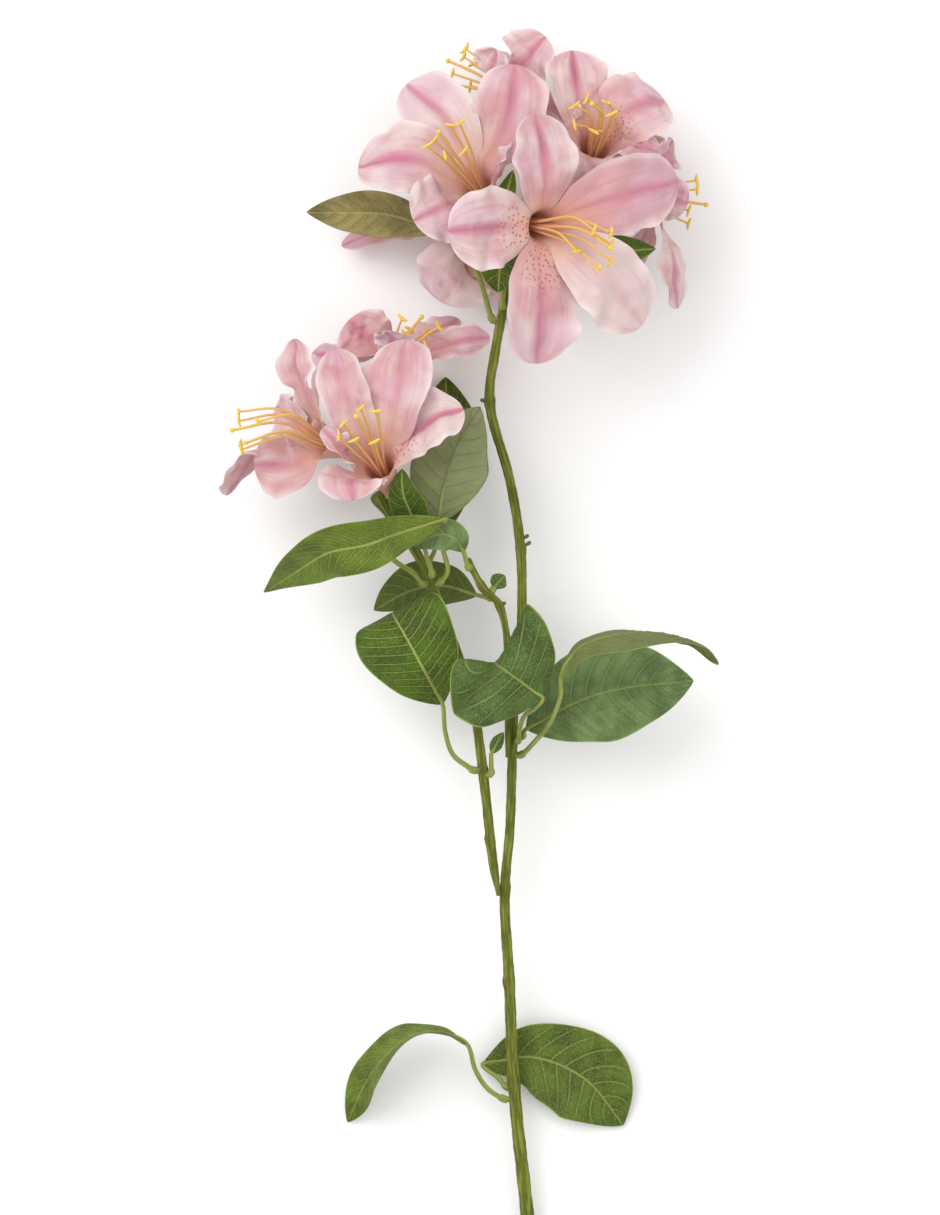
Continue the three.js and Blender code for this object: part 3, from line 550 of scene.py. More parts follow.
class Wire:
    """One output of a material's nodes, which takes part in sums."""

    def __init__(self, finish, socket):
        self.finish = finish
        self.socket = socket

    def __add__(self, other):
        return self.finish.maths("ADD", self, other)

    __radd__ = __add__

    def __sub__(self, other):
        return self.finish.maths("SUBTRACT", self, other)

    def __rsub__(self, other):
        return self.finish.maths("SUBTRACT", other, self)

    def __mul__(self, other):
        return self.finish.maths("MULTIPLY", self, other)

    __rmul__ = __mul__

    def __truediv__(self, other):
        return self.finish.maths("DIVIDE", self, other)

    def __pow__(self, other):
        return self.finish.maths("POWER", self, other)

    def __abs__(self):
        return self.finish.maths("ABSOLUTE", self)


class Finish:
    """The nodes of one material."""

    def __init__(self, name):
        self.material = bpy.data.materials.new(name)
        self.material.use_nodes = True
        self.tree = self.material.node_tree
        self.tree.nodes.clear()

    def node(self, kind, settings=None, sockets=None, out=0):
        """A node with its settings made first, then its sockets' values or links."""
        made = self.tree.nodes.new(kind)
        for key, value in (settings or {}).items():
            setattr(made, key, value)
        for key, value in (sockets or {}).items():
            socket = made.inputs[key]
            if isinstance(value, Wire):
                self.tree.links.new(value.socket, socket)
            elif socket.type == "RGBA":
                socket.default_value = (*value, 1)
            else:
                socket.default_value = value
        return Wire(self, made.outputs[out]) if made.outputs else None

    def maths(self, operation, *parts):
        """A Math node on wires and numbers."""
        return self.node("ShaderNodeMath", {"operation": operation}, dict(enumerate(parts)))

    def value(self, name):
        """One of the surface values that the shapes carry."""
        return self.node("ShaderNodeAttribute", {"attribute_name": name}, out="Fac")

    def step(self, low, high, value):
        """0 below low, 1 above high, smooth between."""
        return self.node("ShaderNodeMapRange", {"interpolation_type": "SMOOTHSTEP"},
                         {"Value": value, "From Min": low, "From Max": high})

    def blend(self, share, first, second):
        """The first colour at share 0, the second at share 1."""
        return self.node("ShaderNodeMix", {"data_type": "RGBA"}, {0: share, 6: first, 7: second}, 2)

    def shifted(self, where, by):
        """A place moved, so that one noise can be read in another part of itself."""
        return self.node("ShaderNodeVectorMath", {"operation": "ADD"}, {0: where, 1: by})

    def spot(self):
        """The place on the piece, in millimetres."""
        place = self.node("ShaderNodeTexCoord", out="Object")
        return self.node("ShaderNodeVectorMath", {"operation": "SCALE"}, {0: place, "Scale": 1 / MM})

    def vector(self, x, y, z=0.0):
        """A place made of three numbers or wires."""
        return self.node("ShaderNodeCombineXYZ", None, {"X": x, "Y": y, "Z": z})

    def noise(self, where, scale, detail):
        """Cloudy noise about 0.5, with so many waves to a millimetre."""
        return self.node("ShaderNodeTexNoise", None,
                         {"Vector": where, "Scale": scale, "Detail": detail})

    def bump(self, height, strength, depth):
        """Relief for a surface's Normal; depth is in millimetres."""
        return self.node("ShaderNodeBump", None,
                         {"Strength": strength, "Distance": depth * MM, "Height": height})

    def surface(self, sockets, glow=0.0, through=(1, 1, 1)):
        """The finished surface; glow is the share of light that comes through from behind."""
        shader = self.node("ShaderNodeBsdfPrincipled", None, sockets)
        if glow:
            light = self.node("ShaderNodeBsdfTranslucent", None, {"Color": through})
            shader = self.node("ShaderNodeMixShader", None, {0: glow, 1: shader, 2: light})
        self.node("ShaderNodeOutputMaterial", None, {"Surface": shader})
        return self.material


def petal_finish():
    """Crepe-like petal: pale, blushed pink, peach towards the throat, with a band on the midrib."""
    f = Finish("petal")
    along, side, gap = f.value("along"), f.value("side"), f.value("gap")
    edge = abs(f.value("across"))
    spot = f.spot()
    cloud = f.noise(spot, 0.07, 2)
    patch = f.noise(f.shifted(spot, (90, 40, 20)), 0.06, 1)
    grain = f.noise(spot, 0.9, 4)
    wisp = f.noise(f.vector(f.value("across") * 9 + f.value("seed") * 50, along * 1.6), 1.0, 4)
    vein = f.step(0.50, 0.68, wisp)

    flush = f.step(0.1, 0.9, (cloud - 0.5) * 2.0 + f.value("blush") + (wisp - 0.5) * 0.6)
    colour = f.blend(flush, tint_of("petal_pale"), tint_of("petal_pink"))
    cool = f.step(0.35, 0.95, along + (patch - 0.5) * 1.2) * f.step(0.42, 0.62, patch)
    colour = f.blend(cool * 0.5, colour, tint_of("petal_lilac"))
    warm = 1 - f.step(-0.1, 0.62, along + (cloud - 0.5) * 0.5 + (wisp - 0.5) * 0.25 + edge * 0.2)
    colour = f.blend(warm * 0.85, colour, tint_of("petal_peach"))
    wide = edge + (cloud - 0.5) * 0.3 + (wisp - 0.5) * 0.2
    band = (1 - f.step(0.0, 0.30, wide)) * f.step(0.1, 0.65, along + (cloud - 0.5) * 0.3)
    colour = f.blend(band * f.value("streak") * 0.8, colour, tint_of("petal_streak"))
    rim = f.step(0.7, 1.0, edge + (wisp - 0.5) * 0.3) * f.step(0.25, 0.6, along)
    colour = f.blend(rim * 0.6, colour, tint_of("petal_rim"))
    colour = f.blend(vein * 0.10, colour, tint_of("petal_streak"))
    heart = (1 - f.step(-0.5, 0.12, along)) * (side * 0.8 + 0.2)
    colour = f.blend(heart * 0.85, colour, tint_of("petal_throat"))
    colour = f.blend((1 - f.step(-0.95, -0.3, along)) * side * 0.9, colour, tint_of("petal_deep"))
    dots = f.node("ShaderNodeTexVoronoi", {"voronoi_dimensions": "2D"},
                  {"Vector": f.vector(gap + f.value("seed") * 31, f.value("run")),
                   "Scale": 0.40, "Randomness": 0.8})
    freckle = 1 - f.step(0.15, 0.25, dots)
    freckle = freckle * f.step(-0.05, 0.08, along) * (1 - f.step(0.35, 0.62, along + edge * 0.2))
    freckle = freckle * (1 - f.step(0.55, 0.8, edge)) * f.value("mark") * side
    colour = f.blend(freckle * 0.75, colour, tint_of("petal_speckle"))

    height = vein * 0.3 + wisp * 0.6 + grain * 0.6
    return f.surface({
        "Base Color": colour, "Roughness": 0.66 + (grain - 0.5) * 0.15, "Specular IOR Level": 0.2,
        "Sheen Weight": 0.08, "Normal": f.bump(height, 0.6, 0.4),
    }, 0.20, (0.88, 0.60, 0.54))


def filament_finish():
    """Stamen threads, peach in the tube and golden towards the anther."""
    f = Finish("filament")
    grain = f.noise(f.spot(), 1.5, 2)
    share = f.step(0.3, 0.95, f.value("along") + (grain - 0.5) * 0.2)
    colour = f.blend(share, tint_of("filament_base"), tint_of("filament_tip"))
    return f.surface({
        "Base Color": colour, "Roughness": 0.5 + grain * 0.1, "Normal": f.bump(grain, 0.3, 0.1),
    }, 0.15, (0.95, 0.6, 0.3))


def anther_finish():
    """Anthers and stigma with grainy pollen."""
    f = Finish("anther")
    spot = f.spot()
    grain = f.noise(spot, 5.0, 3)
    patch = f.noise(spot, 0.8, 1)
    colour = f.blend(f.step(0.35, 0.7, patch), tint_of("filament_tip"), tint_of("anther"))
    return f.surface({
        "Base Color": colour, "Roughness": 0.7 + (grain - 0.5) * 0.3,
        "Normal": f.bump(grain, 0.6, 0.25),
    })


def leaf_finish(name, upper, under, vein_tint, edge_tint, vein_strength):
    """Leaf with a pale midrib, side veins and a fine net between them, and painted shade beside the side
    veins.
    """
    f = Finish(name)
    along, side = f.value("along"), f.value("side")
    edge, gap = abs(f.value("across")), abs(f.value("gap"))
    spot = f.spot()
    cloud = f.noise(spot, 0.09, 3)
    grain = f.noise(spot, 1.6, 4)
    beat = abs(f.maths("FRACT", f.value("mark")) - 0.5)
    line = f.step(0.42, 0.49, beat) * (1 - f.step(0.72, 0.98, edge)) * f.step(0.02, 0.1, along)
    rib = 1 - f.step(0.35, 0.95, gap + along * 0.4)
    vein = f.maths("MAXIMUM", line * 0.75, rib)
    net = f.node("ShaderNodeTexVoronoi", {"feature": "DISTANCE_TO_EDGE"},
                 {"Vector": spot, "Scale": 0.85})
    mesh = 1 - f.step(0.0, 0.09, net)

    top = f.blend(f.step(0.35, 0.7, cloud), scaled(upper, 1.25), scaled(upper, 0.6))
    # Painted shade: the upper face is darkened along both sides of the sunken side veins, where shade falls
    # in their grooves.
    vein_groove_shade = f.step(0.12, 0.40, beat) * (1 - f.step(0.7, 1.0, edge))
    top = f.blend(vein_groove_shade * 0.35, top, scaled(upper, 0.45))
    top = f.blend(f.step(0.45, 0.75, grain) * 0.30, top, vein_tint)
    back = f.blend(f.step(0.3, 0.75, cloud), under, scaled(under, 0.75))
    back = f.blend(f.step(0.4, 0.8, grain) * 0.25, back, scaled(under, 0.6))
    colour = f.blend(side, back, top)
    colour = f.blend(mesh * 0.16, colour, vein_tint)
    colour = f.blend(vein * vein_strength, colour, vein_tint)
    colour = f.blend(f.step(0.965, 0.995, edge) * 0.6, colour, edge_tint)
    height = grain * 0.35 - mesh * 0.25 - vein * (side * 2 - 1) * 0.9
    return f.surface({
        "Base Color": colour, "Roughness": 0.62 - side * 0.12 + (grain - 0.5) * 0.2,
        "Specular IOR Level": 0.2, "Normal": f.bump(height, 0.7, 0.4),
    }, 0.08, (0.40, 0.5, 0.06))


def stem_finish(name, ground, ridge, scars):
    """Bark in long streaks, brown at the nodes, pale on the cut face."""
    f = Finish(name)
    turn = f.value("across") * math.pi
    ring = f.vector(f.maths("COSINE", turn) * 2.2, f.maths("SINE", turn) * 2.2, f.value("run") * 0.10)
    streak = f.noise(ring, 1.1, 3)
    spot = f.spot()
    grain = f.noise(spot, 1.4, 4)
    patch = f.noise(spot, 0.12, 2)
    colour = f.blend(f.step(0.38, 0.68, streak), ground, ridge)
    colour = f.blend(f.step(0.45, 0.75, patch) * 0.35, colour, scaled(ground, 0.6))
    node = f.maths("MINIMUM", f.value("mark") * f.step(0.25, 0.7, grain), 1.0)
    colour = f.blend(node * scars, colour, tint_of("stem_brown"))
    colour = f.blend(f.value("streak"), colour, tint_of("pith"))
    return f.surface({
        "Base Color": colour, "Roughness": 0.6 + (grain - 0.5) * 0.25, "Specular IOR Level": 0.2,
        "Normal": f.bump(streak * 1.2 + grain * 0.5, 0.8, 0.4),
    })


def floor_finish():
    """A plain pale surface with the faintest unevenness."""
    f = Finish("floor")
    cloud = f.noise(f.spot(), 0.004, 2)
    tone = tint_of("floor")
    colour = f.blend(cloud, tone, scaled(tone, 0.985))
    return f.surface({"Base Color": colour, "Roughness": 0.9 + (cloud - 0.5) * 0.05,
                      "Specular IOR Level": 0.1})


# ---------------------------------------------------------------- stems


def stem_line(name):
    """A stem's centre line and its radius, in millimetres, at both ends."""
    if name == "main":
        return Line(MAIN_STEM), size_of("stem_cut_radius"), size_of("stem_top_radius")
    points, start, radius = {
        "branch": (LEFT_BRANCH, BRANCH_START, size_of("branch_radius")),
        "twig": (SIDE_TWIG, TWIG_START, size_of("twig_radius")),
    }[name]
    centre, along, thick = on_stem("main", start)
    side = square_to(FORK_SIDE, along)
    return Line([centre + side * (thick + radius + GAP), *points]), radius, radius


def on_stem(name, height):
    """The centre of a stem at a height up the spray, its way there and its radius."""
    line, base, top = stem_line(name)
    share = line.share_at_height(height)
    return line.at(share), line.along(share), mix(base, top, min(share / TAPER_END, 1))


def stem_shape(name, rng):
    """Ridged bark with swollen nodes and spurs, cut square at its foot and rounded at its end."""
    line, base, top = stem_line(name)
    core = size_of("twig_radius" if name == "twig" else "core_radius")
    end = 1 + 0.5 * core / line.length
    body = np.linspace(0, 1, int(line.length / 0.9))
    turn = np.linspace(0, 2 * math.pi, STEM_SIDES, endpoint=False)[None]
    run = (body * line.length)[:, None]
    swell = np.zeros_like(run)
    for height in STEM_NODES[name]:
        away = run - line.share_at_height(height) * line.length
        lean = 1 + 0.5 * np.cos(turn - rng.uniform(0, 2 * math.pi))
        swell = swell + np.exp(-np.where(away > 0, away / 1.6, away / 3.4) ** 2) * lean
    twist = run * 0.012 + rng.uniform(0, 6)
    ridges = 0.045 * np.cos(5 * (turn + twist)) + 0.03 * np.cos(3 * turn - run * 0.05)
    lumps = 0.03 * np.sin(run * 0.45 + 2 * np.cos(turn)) + 0.02 * np.sin(run * 1.3 + 3 * turn)
    flare = ease(1 - 9 / line.length, 1, body)[:, None] * (core - top)
    thick = mix(base, top, np.minimum(body / TAPER_END, 1))[:, None]
    if name != "main":
        thick = thick * mix(FORK_THIN, 1, ease(0, FORK_TAPER, run))
    radii = thick * (1 + ridges + lumps) + size_of("node_swell") * swell + flare
    cap = np.linspace(0, math.pi / 2, 8)[1:, None]
    dome = radii[-1:] * np.cos(cap)
    shares = np.concatenate([[0, 0], body + 0.3 / line.length * (body == 0),
                             1 + (end - 1) * np.sin(cap[:, 0])])
    radii = np.vstack([radii[:1] * 0.5, radii[:1] * 0.9, radii, dome])
    mark = np.vstack([swell[:1], swell[:1], swell, np.repeat(swell[-1:] + 0.6, len(cap), 0)])
    longer = Line([*line.at(np.linspace(0, 1, 60)), line.at(1.0) + line.along(1.0) * core * 0.5])
    shares = shares / end
    cut = np.zeros((len(shares) + 2, 1))
    if name == "main":
        cut[:3] = 1
    shape = Shape()
    shape.add_tube(longer, shares, radii, 0, STEM_SIDES, streak=cut,
                   mark=np.vstack([mark[:1], mark, mark[-1:]]))
    for height, side, reach in STEM_SPURS[name]:
        centre, along, radius = on_stem(name, height)
        way = square_to(side, along) + along * 0.45
        spur = Line([centre, centre + unit(way) * (radius + reach * 0.5),
                     centre + unit(way) * (radius + reach) + along * 0.3])
        steps = np.linspace(0, 1, 14)
        knob = 0.9 * (1 + 0.25 * np.sin(steps * 9)) * np.sqrt(1 - steps ** 4)
        shape.add_tube(spur, steps, knob, 0, 12, mark=0.9)
    return shape


# ---------------------------------------------------------------- leaves

VEIN_REACH = 0.17  # how far forward a side vein runs by the margin, as a share of the length


def leaf_width(half, widest, share):
    """Half the blade's width, pointed at both ends."""
    low = np.sin(math.pi / 2 * np.clip(share / widest, 0, 1)) ** 0.8
    high = np.cos(math.pi / 2 * np.clip((share - widest) / (1 - widest), 0, 1)) ** 0.8
    return half * np.where(share < widest, low, np.maximum(high, 0))


def leaf_shape(drawn, rng):
    """A blade with sunken veins and a soft fold, on its bent stalk with a small socket."""
    line = Line(drawn["blade"])
    half = drawn["half"]
    rows = max(int(line.length / 0.7), 16)
    columns = 2 * max(int(half / 0.7), 6) + 1
    share = (0.5 - 0.5 * np.cos(math.pi * np.linspace(0, 1, rows)))[:, None]
    across = np.linspace(-1, 1, columns)[None]
    edge = np.abs(across)
    along = line.along(share[:, 0])
    roll = np.radians(mix(drawn["roll"][0], drawn["roll"][1], share[:, 0] ** 2))
    sideways = turned(unit(np.cross(UP, along)), along, roll)
    facing = np.cross(along, sideways)

    phase = rng.uniform(0, 2 * math.pi, 4)
    wobble = 1 + 0.02 * np.sin(share * 17 + phase[0] + np.sign(across)) * edge
    width = leaf_width(half, drawn["widest"], share) * wobble
    pairs = line.length / drawn["spacing"]
    beat = (share - VEIN_REACH * edge ** 1.25) * pairs + 0.4 * (across > 0) + phase[1]
    near = np.abs(beat - np.floor(beat) - 0.5)
    groove = ease(0.30, 0.5, near) * (1 - ease(0.7, 0.98, edge)) * ease(0.02, 0.15, share)
    rib = np.exp(-(across * width / 1.1) ** 2) * (1 - share)
    fold = 0.18 * half * (np.sqrt(edge ** 2 + 0.01) - 0.1) * np.sin(math.pi * share)
    waves = 0.045 * half * edge ** 2 * np.sin(share * 14 + phase[2] + 1.3 * np.sign(across))
    quilt = -size_of("vein_depth") * (groove * 0.8 + rib * 1.2)
    lift = fold + waves * np.sin(math.pi * share) + quilt
    middle = line.at(share[:, 0])[:, None] + sideways[:, None] * (across * width)[..., None]
    middle = middle + facing[:, None] * lift[..., None]
    closing = (1 - edge ** 8) * np.clip(np.minimum(share, 1 - share) * 40, 0, 1)
    shape = Shape()
    shape.add_sheet(middle, np.broadcast_to(facing[:, None], middle.shape),
                    size_of("leaf_thickness") * closing, 0, along=share, across=across,
                    gap=across * width, mark=beat, seed=rng.uniform())

    centre, stem_way, radius = on_stem(drawn["stem"], drawn["at"])
    out = square_to(drawn["side"], stem_way)
    thick = size_of("petiole_radius")
    under = []
    for s in (0.12, 0.3, 0.55):
        way = line.along(s)
        level = turned(unit(np.cross(UP, way)), way, np.radians(mix(*drawn["roll"], s * s)))
        under.append(line.at(s) - np.cross(way, level) * size_of("leaf_thickness") * 0.6)
    stalk = Line([centre + out * radius * 0.5, centre + out * (radius + GAP + 1.5 * thick),
                  *drawn["petiole"], line.at(0.0), *under])
    joined = np.argmin(np.linalg.norm(stalk.points - line.at(0.0), axis=1))
    joined = stalk.run[joined] / stalk.length
    steps = np.linspace(0, 1, max(int(stalk.length / 0.8), 20))
    radii = thick * np.where(steps < joined, mix(1.0, 0.8, steps / joined),
                             0.8 * (1 - 0.85 * (steps - joined) / (1 - joined)))
    from_stem = steps * stalk.length - radius
    radii = radii + 0.45 * thick * (1 - ease(2.2, 3.4, from_stem)) * ease(0, 1.0, from_stem + 1)
    mark = 1 - ease(0.02, 0.08, np.concatenate([steps[:1], steps, steps[-1:]]))[:, None]
    shape.add_tube(stalk, steps, radii, 1, 14, mark=mark)
    return shape


# ---------------------------------------------------------------- flowers

PETAL_WIDEST = 0.6  # share of the petal at which it is widest
BLEND_END = 0.24  # share of the petal by which the funnel has turned into the petal
PETAL_COLUMNS, PETAL_ROWS, WALL_ROWS = 33, 50, 15  # points across a petal, along it and up the tube
PETAL_SWELLS = ((1.1, (4, 3)), (0.5, (9, 7)), (0.13, (26, 17)))  # heights of its hills, and how many


class FlowerFrame:
    """A flower's throat, its axis, the base of its tube and the directions square to its axis."""

    def __init__(self, drawn):
        self.axis = unit(drawn["axis"])
        self.throat = np.array(drawn["throat"], float)
        self.base = self.throat - self.axis * size_of("tube_length")
        self.level = unit(np.cross(UP, self.axis))
        self.rise = np.cross(self.axis, self.level)

    def radial(self, turn):
        """Outwards from the axis, at an angle in radians."""
        turn = np.asarray(turn, float)[..., None]
        return self.level * np.cos(turn) + self.rise * np.sin(turn)

    def turn_of(self, point):
        """The angle at which a point lies round the axis."""
        lean = np.array(point, float) - self.throat
        return math.atan2(lean @ self.rise, lean @ self.level)


def petal_width(half, claw, share):
    """Half the petal's width, from its narrow claw to its rounded tip."""
    low = mix(claw, half, np.sin(math.pi / 2 * np.clip(share / PETAL_WIDEST, 0, 1)) ** 0.95)
    far = np.clip((share - PETAL_WIDEST) / (1 - PETAL_WIDEST), 0, 1)
    return np.where(share < PETAL_WIDEST, low, half * np.sqrt(np.maximum(1 - far ** 2.3, 0)))


def petal_sheet(shape, bloom, petal_drawn, turns, rng):
    """One petal with its fifth of the tube, from the middle of the tube's floor to its tip."""
    axis, throat, radial = bloom.axis, bloom.throat, bloom.radial
    start, turn, end = turns
    across = np.linspace(-1, 1, PETAL_COLUMNS)[None]
    edge = np.abs(across)
    angle = np.where(across > 0, turn + across * (end - turn), turn - across * (start - turn))
    outwards = radial(turn)
    tube, base_radius = size_of("tube_length"), size_of("tube_base_radius")
    thick = size_of("petal_thickness")
    mouth = size_of("throat_radius") - thick / 2

    # The tube's floor and wall.
    height = np.concatenate([[0.4, 0.4, 0.6], np.linspace(1.2, tube, WALL_ROWS)])[:, None]
    rising = np.clip(height / tube, 0, 1)
    radius = mix(base_radius, mouth, 0.75 * rising + 0.25 * rising ** 2)
    radius = radius * (1 - 0.05 * edge ** 2 * ease(0, 0.4, rising) * (1 - ease(0.85, 1, rising)))
    radius = radius * np.array([0, 0.5, 0.9] + [1] * WALL_ROWS)[:, None]
    wall = bloom.base + axis * height[..., None] + radial(angle) * radius[..., None]
    inwards = -radial(angle) + np.zeros_like(wall)
    inwards[:2] = axis
    inwards[2] = unit(axis + inwards[2])
    wall_thick = thick * (1 - ease(0.8, 1, rising) * edge ** 6)

    # The petal, whose claw grows out of the funnel.
    mid, tip = np.array(petal_drawn["mid"], float), np.array(petal_drawn["tip"], float)
    claw = throat + outwards * (mouth + 1.5) + axis * size_of("claw_rise")
    line = Line([throat + outwards * mouth, claw, mid, tip])
    share = (1 - (1 - np.linspace(0, 1, PETAL_ROWS)[1:]) ** 1.6)[:, None]
    along = line.along(share[:, 0])
    roll = np.radians(petal_drawn["roll"] * np.minimum(share[:, 0] / petal_drawn["settle"], 1))
    sideways = turned(square_to(np.cross(axis, outwards), along), along, roll)
    facing = np.cross(along, sideways)
    half = petal_drawn["half"]
    phase = rng.uniform(0, 2 * math.pi, 8)
    hand = np.sign(across)
    width = petal_width(half, mouth * math.sin(math.pi / 5), share)
    nibble = edge * np.sin(share * 21 + phase[0] + 2 * hand) * ease(0.3, 0.6, share)
    width = width * (1 + 0.03 * nibble)
    full = width / half
    cup = mix(1.4, petal_drawn["cup"] * half, share) * (across * np.minimum(full, 1)) ** 2
    ruffle = np.sin(share * 13 + phase[1] + 1.7 * hand) + 0.6 * np.sin(share * 29 + phase[2] - hand)
    ruffle = size_of("petal_ruffle") * ruffle * edge ** 2.5 * ease(0.2, 0.6, share) * full ** 2
    swell = 0
    for height_of, waves in PETAL_SWELLS:
        swell = swell + height_of * soft_noise(rng, share, across, waves)
    swell = swell * ease(0.1, 0.5, share)
    groove = ease(0, 0.2, share) * (1 - ease(0.8, 1, share))
    groove = -0.55 * np.exp(-(across * width / 1.1) ** 2) * groove
    back = -0.09 * half * ease(0.7, 1, share) ** 1.5
    lift = cup + ruffle + swell * full + groove + back
    petal_points = line.at(share[:, 0])[:, None] + sideways[:, None] * (across * width)[..., None]
    petal_points = petal_points + facing[:, None] * lift[..., None]
    run = share * line.length
    funnel = throat + axis * (0.9 * run)[..., None] + radial(angle) * (mouth + 0.45 * run)[..., None]
    turn_out = ease(0, BLEND_END, share)[..., None]
    points = funnel * (1 - turn_out) + petal_points * turn_out
    face = unit(-radial(angle) * (1 - turn_out) + facing[:, None] * turn_out)
    petal_thick = thick * (1 - edge ** 6) * np.sqrt(1 - share ** 8) + 0 * across

    whole = np.concatenate([wall, points])
    runs = np.concatenate([height - tube, run])
    spread = np.concatenate([angle * 0 + radius * (angle - turn), across * width])
    shape.add_sheet(whole, np.concatenate([inwards, face]),
                    np.concatenate([wall_thick, petal_thick]), 0,
                    along=np.concatenate([rising - 1, share]), across=across, gap=spread, run=runs,
                    mark=petal_drawn["speckled"], streak=petal_drawn["streak"],
                    blush=petal_drawn["blush"], seed=rng.uniform())


def corolla_shape(drawn, rng):
    """Five petals grown together into a funnel."""
    bloom = FlowerFrame(drawn)
    placed = [(bloom.turn_of(petal_drawn["mid"]), petal_drawn) for petal_drawn in drawn["petals"]]
    placed.sort(key=lambda pair: pair[0])
    shape = Shape()
    count = len(placed)
    for k, (turn, petal_drawn) in enumerate(placed):
        before = placed[k - 1][0] - (2 * math.pi if k == 0 else 0)
        after = placed[(k + 1) % count][0] + (2 * math.pi if k == count - 1 else 0)
        turns = ((before + turn) / 2, turn, (after + turn) / 2)
        petal_sheet(shape, bloom, petal_drawn, turns, rng)
    return shape


STAMENS = 6
STAMEN_FLOOR = 1.3  # millimetres above the tube's base where the threads start
ANTHER_SIDES = 14


def stamen_shape(drawn, rng):
    """Six threads with a bar of pollen across each end, and a longer pistil."""
    bloom = FlowerFrame(drawn)
    axis, base = bloom.axis, bloom.base
    tube = size_of("tube_length")
    sweep, arch = np.array(drawn["sweep"], float), np.array(drawn["arch"], float)
    shape = Shape()
    for i in range(STAMENS + 1):
        pistil = i == STAMENS
        lean = bloom.radial(i / STAMENS * 2 * math.pi) * (0 if pistil else 1)
        reach = drawn["reach"] + 3 if pistil else drawn["reach"] - 3 * (i % 3)
        wander = rng.normal(0, 0.8, 3)
        path = Line([
            base + axis * STAMEN_FLOOR + lean * 1.1,
            base + axis * tube + lean * 2.4,
            base + axis * (tube + 0.55 * reach) + lean * 5.5 + sweep * 0.35 + arch + wander,
            base + axis * (tube + reach) + lean * 8 + sweep + wander,
        ])
        steps = np.linspace(0, 1, 40)
        thick = size_of("filament_radius") * (1.25 if pistil else 1)
        shape.add_tube(path, steps, thick * mix(1.1, 0.75, steps), 0, 10)
        end, way = path.at(1.0), path.along(1.0)
        if pistil:
            knob = Line([end - way * 0.6, end + way * 0.4, end + way * 1.3])
            steps = np.linspace(0, 1, 10)
            radii = 1.05 * np.sin(math.pi * mix(0.12, 0.95, steps)) ** 0.6
            shape.add_tube(knob, steps, radii, 1, ANTHER_SIDES)
            continue
        level = unit(np.cross(way, UP))
        cross = turned(level, way, rng.normal(0, 0.5))
        half = size_of("anther_length") / 2 * rng.uniform(0.9, 1.15)
        bow = way * rng.uniform(-1.1, 0.9)
        bar = Line([end - cross * half, end - cross * half * 0.5 + bow * 0.75, end + bow,
                    end + cross * half * 0.5 + bow * 0.75, end + cross * half])
        steps = np.linspace(0, 1, 16)
        turn = np.linspace(0, 2 * math.pi, ANTHER_SIDES, endpoint=False)
        lobes = 1 + 0.16 * np.cos(2 * turn)[None]
        waist = 1 - 0.2 * np.exp(-((steps - 0.5) / 0.07) ** 2)
        swell = np.sqrt(np.sin(math.pi * mix(0.03, 0.97, steps))) * waist
        shape.add_tube(bar, steps, size_of("anther_radius") * swell[:, None] * lobes, 1, ANTHER_SIDES)
    return shape


CALYX_SIDES = 60


def stalk_shape(drawn, rng):
    """A flower stalk, flared under the corolla, with five small sepals."""
    bloom = FlowerFrame(drawn)
    core = stem_line(drawn["truss"])[0].at(1.0)
    end = bloom.base - bloom.axis * GAP
    under = end - bloom.axis * 3
    way = unit(under - core)
    flare, thin = size_of("calyx_radius"), size_of("pedicel_radius")
    stalk = Line([core + way * (size_of("core_radius") - 1), under, end])
    steps = np.linspace(0, 1, 40)
    wide = ease(1 - 4.5 / stalk.length, 1, steps)
    shape = Shape()
    shape.add_tube(stalk, steps, mix(thin, flare, wide) * (1 + 0.05 * np.sin(steps * 31)), 0, 16)

    turn = np.linspace(0, 2 * math.pi, CALYX_SIDES, endpoint=False)[None]
    rows = np.linspace(0, 1, 14)[:, None]
    point = np.abs(np.cos(2.5 * turn + rng.uniform(0, 3))) ** 1.4
    height = -1.2 + rows * (2.2 + 4.2 * point)
    out = np.interp(height, [-1.2, 0, 3, 6], [flare - 0.6, flare + 0.5, flare + 1.1, flare + 1.7])
    out = out + 0.5 * rows ** 3 * rng.uniform(0.4, 1.0)
    sepals = bloom.base + bloom.axis * height[..., None] + bloom.radial(turn) * out[..., None]
    facing = np.broadcast_to(-bloom.radial(turn), sepals.shape)
    thick = 0.5 * (1 - rows ** 4) * ease(0, 0.1, rows) + 0 * turn
    closed = np.arange(CALYX_SIDES + 1) % CALYX_SIDES
    shape.add_sheet(sepals[:, closed], facing[:, closed], thick[:, closed], 0, along=rows,
                    run=height[:, closed], across=(turn / math.pi)[:, closed], mark=rows * 0.6)
    return shape


# ---------------------------------------------------------------- operators


class AZALEA_OT_stems(bpy.types.Operator):
    """Build the main stem, the side branch and the twig"""

    bl_idname = "azalea.stems"
    bl_label = "Stems"

    def execute(self, context):
        bark = stem_finish("bark", tint_of("stem_green"), tint_of("stem_light"), 0.5)
        nodes = {"main": "main_stem", "branch": "left_branch", "twig": "side_twig"}
        for k, (name, node) in enumerate(nodes.items()):
            shape = stem_shape(name, piece_rng("stems", k))
            made = shape.build(f"{node}_bark", [bark])
            settle_piece(made, node)
        return {"FINISHED"}


